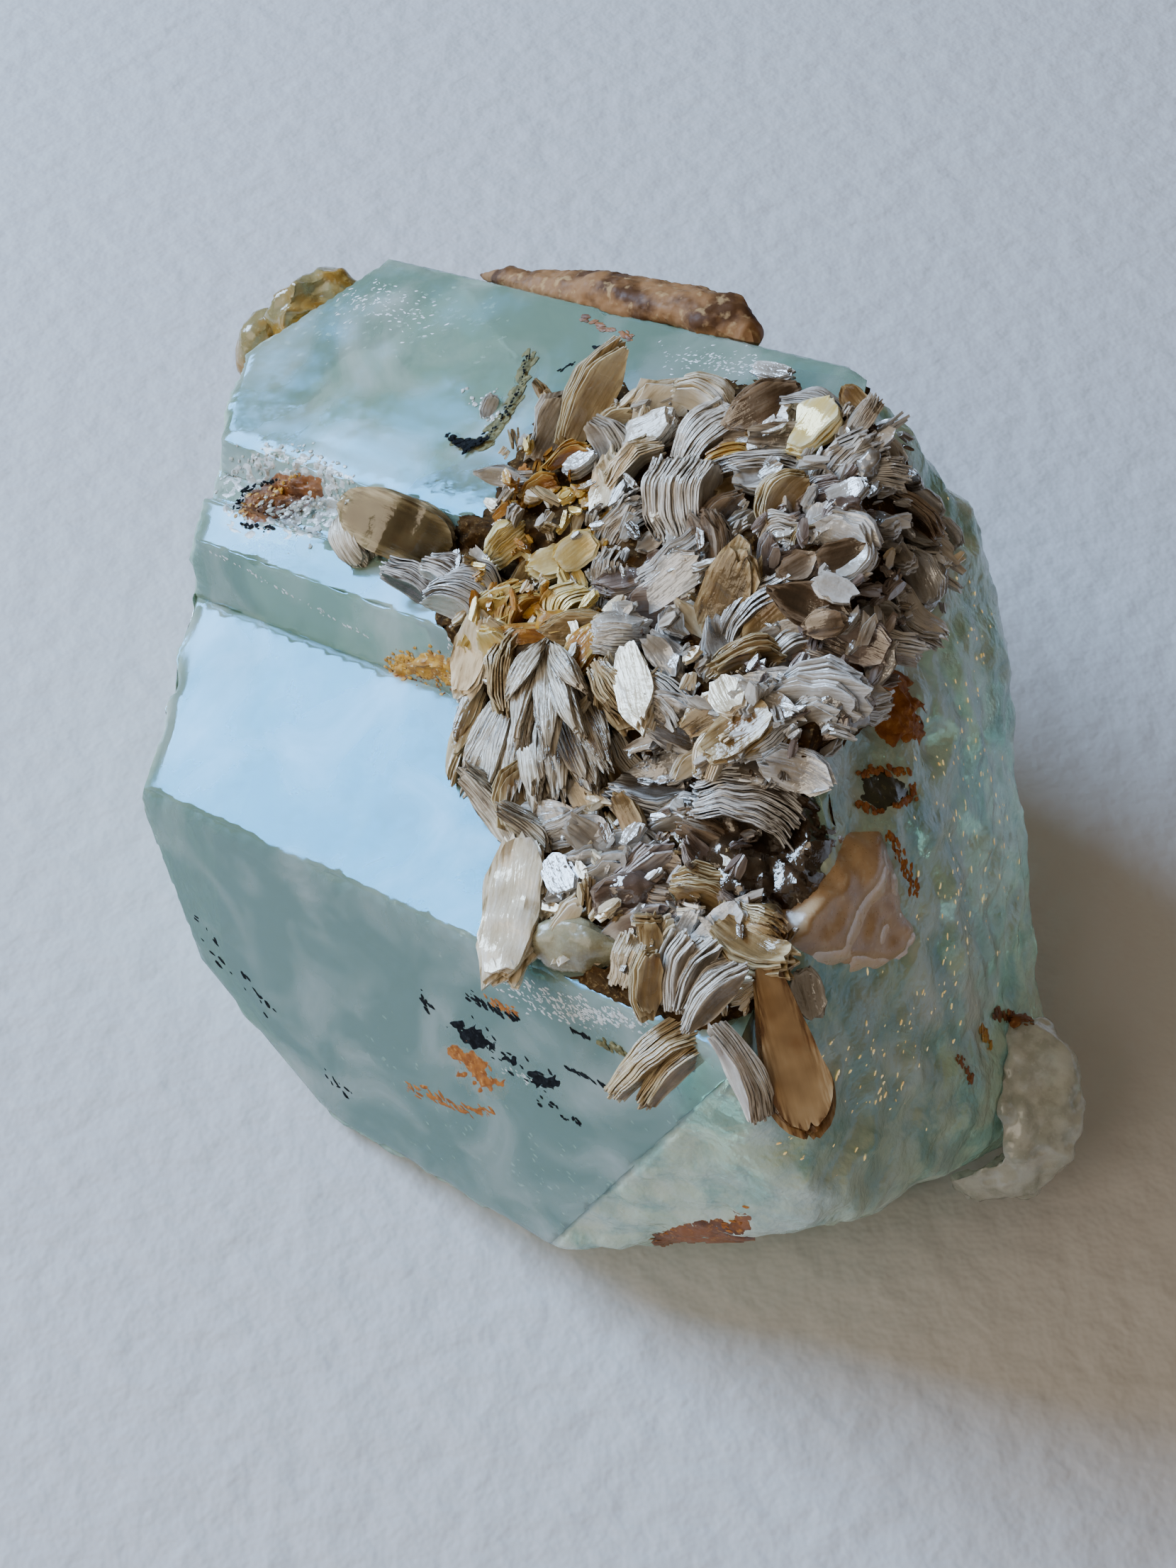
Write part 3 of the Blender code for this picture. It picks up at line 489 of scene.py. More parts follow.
def middle_of(name: str) -> Vector:
    """Returns the middle of a CAD node's box, in mm."""
    low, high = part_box(name)
    return (Vector(low) + Vector(high)) / 2 / MM


def soften(bm: bmesh.types.BMesh, sharp_degrees: float) -> None:
    """Shades a mesh smooth, except across edges sharper than an angle."""
    for face in bm.faces:
        face.smooth = True
    for edge in bm.edges:
        edge.smooth = edge.calc_face_angle(math.pi) < math.radians(sharp_degrees)


def even_out(bm: bmesh.types.BMesh, verts: Iterable[bmesh.types.BMVert], rounds: int = 1) -> None:
    """Moves vertices half of the way to the middle of their neighbours, for some rounds."""
    for _ in range(rounds):
        bmesh.ops.smooth_vert(bm, verts=verts, factor=0.5, use_axis_x=True, use_axis_y=True, use_axis_z=True)


def thicken(bm: bmesh.types.BMesh) -> list[bmesh.types.BMVert]:
    """Extrudes all the faces of an open sheet, and returns the new vertices for moving."""
    pulled = bmesh.ops.extrude_face_region(bm, geom=bm.faces[:])
    return [item for item in pulled["geom"] if isinstance(item, bmesh.types.BMVert)]


def flattened(direction: Vector, normal: Vector) -> Vector:
    """Returns a direction turned into the plane of a normal."""
    return (direction - normal * direction.dot(normal)).normalized()


def laid(long_axis: Vector, normal: Vector, place: Vector) -> Matrix:
    """Returns the matrix that lays X on the long axis and Z on the normal, at a place."""
    pose = Matrix((long_axis, normal.cross(long_axis).normalized(), normal)).transposed().to_4x4()
    pose.translation = place
    return pose


def make_piece(name: str, bm: bmesh.types.BMesh, finish: Finish, nodes: Iterable[str] = ()) -> BVHTree:
    """Turns a bmesh in mm into a piece that rides on the specimen, and frees the bmesh.

    Args:
        name: The piece's name.
        bm: Its mesh, in mm.
        finish: Its finish.
        nodes: The CAD nodes that it stands for.

    Returns:
        The piece's surface, in mm.
    """
    surface = BVHTree.FromBMesh(bm)
    material = material_of(finish)
    bmesh.ops.scale(bm, verts=bm.verts, vec=(MM,) * 3)
    mesh = bpy.data.meshes.new(name)
    bm.to_mesh(mesh)
    bm.free()
    mesh.materials.append(material)
    piece = bpy.data.objects.new(name, mesh)
    bpy.context.scene.collection.objects.link(piece)
    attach(piece, "root")
    if nodes:
        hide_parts(*nodes)
    LOG.info("%s: %d faces, %s", name, len(mesh.polygons), material.name)
    return surface


def refine(bm: bmesh.types.BMesh, longest: float, rounds: int = 12) -> None:
    """Divides a mesh until no edge is longer than the given length.

    Args:
        bm: The mesh.
        longest: The longest edge to leave, in mm.
        rounds: The most times that edges are halved.
    """
    for _ in range(rounds):
        bmesh.ops.triangulate(bm, faces=[face for face in bm.faces if len(face.verts) > 3],
                              quad_method="SHORT_EDGE")
        long_edges = [edge for edge in bm.edges if edge.calc_length() > longest]
        if not long_edges:
            return
        bmesh.ops.subdivide_edges(bm, edges=long_edges, cuts=1, use_grid_fill=True)
    bmesh.ops.triangulate(bm, faces=[face for face in bm.faces if len(face.verts) > 3])


def wave(point: Vector, size: float, seed: float = 0.0) -> float:
    """Returns noise from -1 to 1 whose features are about size wide."""
    return noise.noise(point / size + Vector((seed, seed * 1.7, -seed)))


def inside(outline: Points, across: float, down: float) -> bool:
    """Tells whether a view step is within an outline."""
    found = False
    last_a, last_d = outline[-1]
    for a, d in outline:
        if (d > down) != (last_d > down) and across < (last_a - a) * (down - d) / (last_d - d) + a:
            found = not found
        last_a, last_d = a, d
    return found


def depth_inside(outline: Points, across: float, down: float) -> float:
    """Returns how many view steps a place is inside an outline, below zero outside it."""
    spot = Vector((across, down))
    nearest = math.inf
    for start, end in zip(outline, [*outline[1:], outline[0]]):
        a, b = Vector(start), Vector(end)
        share = min(1.0, max(0.0, (spot - a).dot(b - a) / (b - a).length_squared))
        nearest = min(nearest, (spot - a.lerp(b, share)).length)
    return nearest if inside(outline, across, down) else -nearest


def reach_of(outline: Points, margin: float = 0.0) -> tuple[list[float], list[float]]:
    """Returns the lowest and the highest view steps of an outline, with a margin."""
    lows = [min(point[axis] for point in outline) - margin for axis in (0, 1)]
    highs = [max(point[axis] for point in outline) + margin for axis in (0, 1)]
    return lows, highs


def share_inside(outline: Points, across: float, down: float, margin: float) -> float:
    """Returns the share of a small cross about a view step that is within an outline."""
    tips = ((0, 0), (margin, 0), (-margin, 0), (0, margin), (0, -margin))
    return sum(inside(outline, across + a, down + d) for a, d in tips) / len(tips)


class Pile:
    """Gathers many small meshes in one, for a piece made of repeated small shapes."""

    def __init__(self) -> None:
        """Starts empty."""
        self.bm = bmesh.new()
        self.scratch = bpy.data.meshes.new("pile_scratch")

    def add(self, bm: bmesh.types.BMesh) -> None:
        """Adds a mesh and frees it."""
        bm.to_mesh(self.scratch)
        bm.free()
        self.bm.from_mesh(self.scratch)

    def close(self) -> bmesh.types.BMesh:
        """Returns the gathered mesh and drops the scratch one."""
        bpy.data.meshes.remove(self.scratch)
        return self.bm


# ------------------------------------------------------------------ the crystal
@dataclass
class AquamarineCrystal:
    """The beryl crystal: flat growth faces with faint steps, and conchoidal breaks at both ends."""

    node: str = "aquamarine_crystal"
    worn: float = 0.2                # depth of the wear along the edges
    cell: float = 0.85               # longest mesh edge
    rounds: int = 30                 # how far the edges between breaks are worn round
    swell: float = 0.03              # unevenness of the growth faces
    break_depth: float = 1.15        # depth of the shell-shaped breaks
    foot: float = 0.4                # height below which the resting face stays flat
    finish: BerylFinish = field(default_factory=BerylFinish)

    def face_break(self, normal: Vector) -> float:
        """Returns 0 for a growth face, 1 for a break, from the face's direction."""
        if normal.z < -0.999:
            return 0.0
        return min(1.0, max(0.0, (abs(normal.dot(ALONG)) - 0.02) / 0.05))

    def depth_at(self, vert: bmesh.types.BMVert, broken: float) -> float:
        """Returns how far a vertex goes in, in mm, when its faces are broken by a share from 0 to 1."""
        spot = vert.co
        shell = abs(wave(spot, 7.5, 1.0)) + 0.6 * abs(wave(spot, 3.1, 4.0)) + 0.22 * wave(spot, 1.5, 9.0)
        flat = Vector((spot.dot(ALONG) / 14.0, spot.dot(ACROSS) / 1.1, spot.dot(NORMAL) / 3.0))
        even = wave(spot, 5.0, 2.0) * self.swell + noise.noise(flat) * self.swell * 0.35
        edge_on = max((edge.calc_face_angle(0.0) for edge in vert.link_edges), default=0.0) > math.radians(12)
        chip = self.worn * (0.5 + max(0.0, wave(spot, 1.6, 5.0)) * 2.5) if edge_on else 0.0
        return broken * self.break_depth * (shell - 0.35) + chip - even * (1.0 - broken)

    def mesh(self) -> bmesh.types.BMesh:
        """Builds the crystal's mesh, with its share of break in the attribute "fracture"."""
        bm = node_mesh(self.node)
        bmesh.ops.dissolve_limit(bm, angle_limit=math.radians(1.0), verts=bm.verts[:], edges=bm.edges[:])
        refine(bm, self.cell)
        bm.normal_update()
        fracture = bm.verts.layers.float.new("fracture")
        rounded = [vert for vert in bm.verts
                   if vert.co.z > 0.3 and min(self.face_break(face.normal) for face in vert.link_faces) > 0.9]
        even_out(bm, rounded, self.rounds)
        moves = []
        for vert in bm.verts:
            shares = [self.face_break(face.normal) for face in vert.link_faces]
            vert[fracture] = sum(shares) / len(shares)
            fade = min(1.0, max(0.0, (vert.co.z - 0.02) / self.foot))
            moves.append(vert.normal * -self.depth_at(vert, sum(shares) / len(shares)) * fade)
        for vert, move in zip(bm.verts, moves):
            vert.co += move
        soften(bm, sharp_degrees=24.0)
        return bm

    def build(self) -> BVHTree:
        """Makes the crystal, and returns its surface in mm."""
        return make_piece("aquamarine", self.mesh(), self.finish, [self.node])


# ------------------------------------------------------------------ grains
@dataclass
class RockGrain:
    """One grain of the host rock or the crust: its CAD solid with an uneven, broken surface."""

    node: str
    finish: Grain | Mica
    slot: str
    cell: float = 0.45
    lumps: float = 0.30              # height of the lumps, mm
    lump_size: float = 1.6           # width of the lumps, mm
    grit: float = 0.10               # height of the fine grit, mm
    facets: float = 0.0              # how angular it is: 0 smooth, 1 crystalline
    grown: float = 1.0               # share of its CAD size, for a grain rooted in the crystal
    swell: float = 0.0               # mm that it stands out beyond its CAD surface
    taper: float = 0.0               # share of its thickness that it loses towards -X
    sunk: float = 2.2                # mm that an end with a taper of 1 would sink
    first_cut: float = 2.2           # cells of the first, coarse division

    def slim(self, bm: bmesh.types.BMesh) -> None:
        """Draws the grain's section together towards its -X end, about the line between its two ends."""
        left, right = (pick(bm.verts, key=lambda vert: vert.co.x).co.copy() for pick in (min, max))
        left -= NORMAL * self.taper * self.sunk
        for vert in bm.verts:
            t = (vert.co.x - left.x) / (right.x - left.x)
            vert.co = vert.co.lerp(left.lerp(right, t), self.taper * (1.0 - t) ** 1.3)

    def build(self) -> BVHTree:
        """Makes the grain, and returns its surface in mm."""
        bm = node_mesh(self.node)
        middle = Matrix.Translation(middle_of(self.node))
        bm.transform(middle @ Matrix.Scale(self.grown, 4) @ middle.inverted())
        refine(bm, self.cell * self.first_cut)
        self.slim(bm)
        even_out(bm, bm.verts)
        refine(bm, self.cell)
        bm.normal_update()
        moves = []
        for vert in bm.verts:
            lump = wave(vert.co, self.lump_size, 3.0) * self.lumps
            cut = -abs(wave(vert.co, self.lump_size * 0.7, 8.0)) * self.lumps * self.facets
            moves.append(vert.normal * (self.swell + lump + cut + wave(vert.co, 0.4, 5.0) * self.grit))
        for vert, move in zip(bm.verts, moves):
            vert.co += move
            vert.co.z = max(vert.co.z, 0.02)
        soften(bm, sharp_degrees=38.0)
        return make_piece(self.node, bm, self.finish, [self.node])


@dataclass(frozen=True)
class DrapedPatch:
    """A grain or stain that lies in the surface: a sheet draped on it, thickest in the middle."""

    name: str
    outline: Points
    finish: Grain | Mica
    slot: str
    nodes: tuple[str, ...] = ()
    bulge: float = 0.5               # mm that its middle stands out
    lumps: float = 0.25              # mm
    lump_size: float = 1.4           # mm
    ragged: float = 14.0             # view steps that its rim wanders
    faceted: float = 0.0             # mm that its broken facets tilt
    cells: int = 34
    smoothed: int = 0                # times that its surface is evened out
    root: float = 0.9                # mm that its underside reaches down into what carries it

    def build(self, ground: Sequence[BVHTree]) -> None:
        """Makes the patch on the surfaces given."""
        lows, highs = reach_of(self.outline, 20)
        bm = bmesh.new()
        bmesh.ops.create_grid(bm, x_segments=self.cells, y_segments=self.cells, size=0.5)
        outside, landed = [], {}
        for vert in bm.verts:
            across = lows[0] + (vert.co.x + 0.5) * (highs[0] - lows[0])
            down = lows[1] + (vert.co.y + 0.5) * (highs[1] - lows[1])
            found = VIEW.hit(ground, across, down)
            spot = Vector((across, down, 0.0))
            rim = depth_inside(self.outline, across, down) + self.ragged * (
                noise.noise(spot / 22.0) + 0.7 * noise.noise(spot / 8.0))
            if found is None or rim < -9.0:
                outside.append(vert)
                continue
            landed[vert] = (*found, rim)
        off = sum((normal for _, normal, _ in landed.values()), Vector()).normalized()
        for vert, (point, _, rim) in landed.items():
            rise = min(1.0, max(-0.6, rim / 18.0))
            lump = self.lumps * (wave(point, self.lump_size, 3.0) - abs(wave(point, self.lump_size * 0.6, 7.0)))
            middle = noise.voronoi(point / self.lump_size)[1][0]
            tilt = (point / self.lump_size - middle).dot(noise.noise_vector(middle * 3.1)) * self.faceted
            vert.co = point + off * (self.bulge * rise + (lump + tilt) * max(0.0, rise))
        bmesh.ops.delete(bm, geom=outside, context="VERTS")
        even_out(bm, bm.verts, self.smoothed)
        bmesh.ops.recalc_face_normals(bm, faces=bm.faces)
        bmesh.ops.translate(bm, verts=thicken(bm), vec=-self.root * NORMAL)
        bmesh.ops.recalc_face_normals(bm, faces=bm.faces)
        soften(bm, sharp_degrees=40.0)
        make_piece(self.name, bm, self.finish, self.nodes)


PATCHES = (
    DrapedPatch("pink_feldspar_patch", ((1196, 1176), (1242, 1172), (1262, 1230), (1272, 1286), (1290, 1312),
                                        (1274, 1346), (1236, 1362), (1160, 1358), (1110, 1328), (1100, 1284),
                                        (1166, 1236)), Grain.FELDSPAR, "feldspar", ("pink_feldspar_patch",), 0.7,
                0.04, 4.2, 3.0, faceted=0.6, cells=52, smoothed=2),
    DrapedPatch("smoky_mica_mass", ((975, 1140), (1060, 1125), (1150, 1130), (1175, 1190), (1150, 1270), (1080, 1295),
                                    (1000, 1270), (970, 1200)), Mica.UMBER, "umber", ("smoky_mica_mass",), 1.2, 0.3,
                2.4, faceted=1.2, cells=46),
    DrapedPatch("rust_patch", ((1225, 950), (1270, 945), (1298, 990), (1290, 1045), (1250, 1050), (1222, 1000)),
                Grain.ORANGE, "rust", ("rust_patch",), 0.6, 0.5, 1.2),
    DrapedPatch("groove_rim", ((312, 700), (330, 662), (375, 636), (440, 640), (488, 672), (492, 716), (458, 748),
                               (390, 762), (330, 752)), Grain.WHITE, "quartz", (), 0.1, 0.5, 0.7, 16.0, cells=64),
    DrapedPatch("groove_rust", ((336, 722), (352, 694), (388, 672), (430, 664), (456, 676), (452, 704), (410, 730),
                                (352, 744)), Grain.RUST, "rust", ("groove_rust_grain",), 0.45, 0.45, 0.7, 5.0,
                cells=56),
    DrapedPatch("riser_foot_ochre", ((552, 930), (590, 922), (640, 928), (650, 966), (600, 960), (556, 950)),
                Grain.OCHRE, "rust", (), 0.25, 0.35, 0.7),
    DrapedPatch("green_pit", ((1214, 1098), (1250, 1090), (1278, 1102), (1282, 1126), (1248, 1142), (1214, 1130)),
                Grain.PIT, "bed", (), 0.15, 0.2, 0.9, 6.0),
    DrapedPatch("foot_rust_patch", ((920, 1745), (960, 1728), (1060, 1715), (1060, 1735), (980, 1755)), Grain.RUST,
                "rust", (), 0.12, 0.1, 1.0, 8.0),
    DrapedPatch("blot_dark", ((640, 1450), (668, 1452), (696, 1474), (698, 1484), (676, 1482), (652, 1470)),
                Grain.BLACK, "beryl", (), 0.05, 0.05, 0.6, 17.0, cells=60),
    DrapedPatch("blot_warm", ((640, 1478), (664, 1484), (690, 1500), (694, 1534), (664, 1522), (648, 1500)),
                Grain.ORANGE, "beryl", (), 0.05, 0.05, 0.6, 24.0, cells=60),
    DrapedPatch("blot_beside", ((712, 1490), (738, 1500), (780, 1528), (768, 1530), (732, 1512)), Grain.BLACK,
                "beryl", (), 0.05, 0.05, 0.6, 18.0, cells=60),
    DrapedPatch("vein", ((747, 500), (753, 500), (737, 557), (708, 608), (692, 630), (642, 627), (640, 622),
                         (686, 624), (702, 604), (731, 556)), Grain.OLIVE, "bed", (), 0.2, 0.2, 0.5, 7.0, cells=76),
)


@dataclass
class MicaGround:
    """The crumbly ground of fine mica that carries the books; its dark brown is partly painted shade between them."""

    node: str = "mica_bed"
    cell: float = 0.62
    lumps: float = 0.75
    sunk: float = 0.8                # how far its bare rim sinks in the crystal
    rim: float = 24.0                # view steps over which it sinks

    def cover(self, point: Vector) -> float:
        """Returns how far a point is inside the crust: 0 outside it, 1 well inside."""
        return share_inside(CRUST_OUTLINE, *VIEW.steps_of(point), self.rim)

    def build(self, crystal: BVHTree) -> BVHTree:
        """Makes the ground, rooted in the crystal all round, and returns its surface in mm."""
        bm = node_mesh(self.node)
        refine(bm, self.cell)
        bm.normal_update()
        places = []
        for vert in bm.verts:
            lump = vert.normal * (self.lumps * wave(vert.co, 2.0, 6.0) + 0.3 * wave(vert.co, 0.7, 2.0))
            point, normal, _, _ = crystal.find_nearest(vert.co)
            places.append((point - normal * self.sunk).lerp(vert.co + lump, self.cover(vert.co)))
        for vert, place in zip(bm.verts, places):
            vert.co = place
        soften(bm, sharp_degrees=30.0)
        return make_piece("mica_ground", bm, Grain.GROUND, [self.node])


# ------------------------------------------------------------------ mica books
class Outline(Enum):
    """The outlines that the mica sheets grow in."""

    BLADE = "blade"
    LENS = "lens"
    HEXAGON = "hexagon"
    TAB = "tab"
    DROP = "drop"

    def half_width(self, t: float) -> float:
        """Returns the half-width as a share of the width, at t from 0 (root) to 1 (tip)."""
        if self is Outline.LENS:
            share = 0.5 * math.sin(math.pi * t) ** 0.8 if 0 < t < 1 else 0.0
        elif self is Outline.BLADE:
            share = 0.5 * min(1.0, 0.55 + 1.2 * t) * min(1.0, 3.2 * (1.0 - t)) ** 0.7
        elif self is Outline.DROP:
            share = 0.5 * min(1.0, 0.35 + 0.9 * t) * math.sqrt(max(0.0, 1.0 - max(0.0, (t - 0.7) / 0.3) ** 2))
        elif self is Outline.TAB:
            share = 0.5 * max(0.0, 1.0 - abs(2.0 * t - 1.0) ** 3) ** 0.5
        else:
            share = 0.5 * min(1.0, 0.55 + 1.8 * min(t, 1.0 - t))
        return max(share, 0.09)


def new_sheet() -> tuple[bmesh.types.BMesh, Any, Any, Any]:
    """Returns an empty mesh with the layers that the mica finishes read: tint, rim and sheet."""
    bm = bmesh.new()
    layers = bm.verts.layers
    return bm, layers.float.new("tint"), layers.float.new("rim"), layers.float_vector.new("sheet")


@dataclass(frozen=True)
class MicaBook:
    """One book of mica: a stack of thin, slightly curved sheets that spread towards the tip.

    Angles are degrees. Turn is the long axis seen on the show side, lean raises it towards the eye,
    and roll turns the sheets about it. A flat book lies parallel to the crystal's upper face.
    """

    turn: float
    lean: float
    roll: float
    length: float
    width: float
    thick: float
    outline: Outline
    finish: Mica = Mica.GREY
    sheets: int = 10
    fan: float = 10.0                # degrees that the sheets spread over
    curl: float = 0.35               # mm that each sheet bows
    ripple: float = 0.10             # mm of waves across each sheet
    ragged: float = 0.10             # unevenness of the ends and sides
    flat: bool = False
    cells: int = 12

    def frame(self, middle: Vector) -> Matrix:
        """Returns the matrix that lays the length on X and the sheets' normal on Z, at a middle."""
        show = VIEW.towards
        long_axis = VIEW.direction(math.radians(self.turn))
        if self.flat:
            normal = NORMAL.copy()
            long_axis = (long_axis - show * (long_axis.dot(normal) / show.dot(normal))).normalized()
            normal = Matrix.Rotation(math.radians(self.roll), 3, long_axis) @ normal
        else:
            lean = math.radians(self.lean)
            long_axis = (long_axis * math.cos(lean) + show * math.sin(lean)).normalized()
            normal = Matrix.Rotation(math.radians(self.roll), 3, long_axis) @ flattened(show, long_axis)
        return laid(long_axis, normal, middle)

    def sheet(self, index: int, draw: random.Random, drift: float) -> bmesh.types.BMesh:
        """Builds one sheet of the stack in the book's own frame.

        Args:
            index: The sheet's number from the bottom.
            draw: The book's random source.
            drift: Where the book's waves are read, the same for all its sheets.

        Returns:
            The sheet, with its tone, rim and coordinates as attributes.
        """
        bm, tint, rim, ruled = new_sheet()
        share = index / max(1, self.sheets - 1) - 0.5
        tone = draw.random()
        seed = draw.uniform(0, 50)
        pitch = self.thick / self.sheets
        wedge = math.radians(self.fan) / self.sheets
        long = self.length * draw.uniform(0.93, 1.02) * (1.0 - 0.25 * abs(share))
        wide = self.width * draw.uniform(0.955, 1.03) * (1.0 - 0.35 * share * share)
        bmesh.ops.create_grid(bm, x_segments=self.cells, y_segments=4, size=0.5)
        for vert in bm.verts:
            t, side = vert.co.x + 0.5, vert.co.y * 2.0
            half = self.outline.half_width(t) * wide * (
                1.0 + self.ragged * 1.6 * noise.noise(Vector((t * 4.0, side * 0.5, drift + share * 2.5))))
            end = self.ragged * noise.noise(Vector((side * 2.2, seed, t))) * abs(2 * t - 1) ** 2
            x = long * (t - 0.5 + end)
            y = side * half
            z = self.curl * (4.0 * (t - 0.5) ** 2 - 0.5) + 1.6 * self.ripple * noise.noise(
                Vector((x / 1.5, y / 1.1, drift + share * 1.4))) + 0.12 * self.curl * side * side
            vert.co = (x, y, z)
            vert[tint] = tone
            # rim marks the sheet's edges: there the fibres show fully and the finish paints its rim highlight
            vert[rim] = 1.0 if abs(side) > 0.99 or t < 0.001 or t > 0.999 else 0.0
            vert[ruled] = (x, y, (index + seed) * pitch)
        for vert in thicken(bm):
            grow = Vector((0, 0, pitch * 0.95 + max(0.0, vert.co.x + self.length / 2) * wedge * 0.95))
            vert.co += grow
            vert[ruled] += grow
        spread = Matrix.Rotation(math.radians(-self.fan * share), 4, "Y") @ Matrix.Rotation(
            math.radians(draw.gauss(0, 1.1)), 4, "Z")
        root = Matrix.Translation((-self.length / 2, 0, 0))
        lift = Matrix.Translation((draw.gauss(0, 0.012) * self.length, draw.gauss(0, 0.01) * self.width,
                                   share * self.thick + draw.uniform(-0.12, 0.12) * pitch))
        bm.transform(lift @ root @ spread @ root.inverted())
        bmesh.ops.recalc_face_normals(bm, faces=bm.faces)
        return bm

    def pour(self, pile: Pile, middle: Vector, seed: int) -> None:
        """Adds the whole book to a pile.

        Args:
            pile: The pile that gathers it.
            middle: The book's middle, in mm.
            seed: The seed of its random source.
        """
        draw = random.Random(seed)
        placed = self.frame(middle)
        drift = draw.uniform(0, 50)
        for index in range(self.sheets):
            sheet = self.sheet(index, draw, drift)
            sheet.transform(placed)
            soften(sheet, sharp_degrees=35.0)
            pile.add(sheet)

    def build(self, node: str, slot: str, seed: int) -> BVHTree:
        """Makes the piece that stands for one book of the CAD model, and returns its surface in mm."""
        pile = Pile()
        self.pour(pile, middle_of(node), seed)
        return make_piece(node, pile.close(), self.finish, [node])


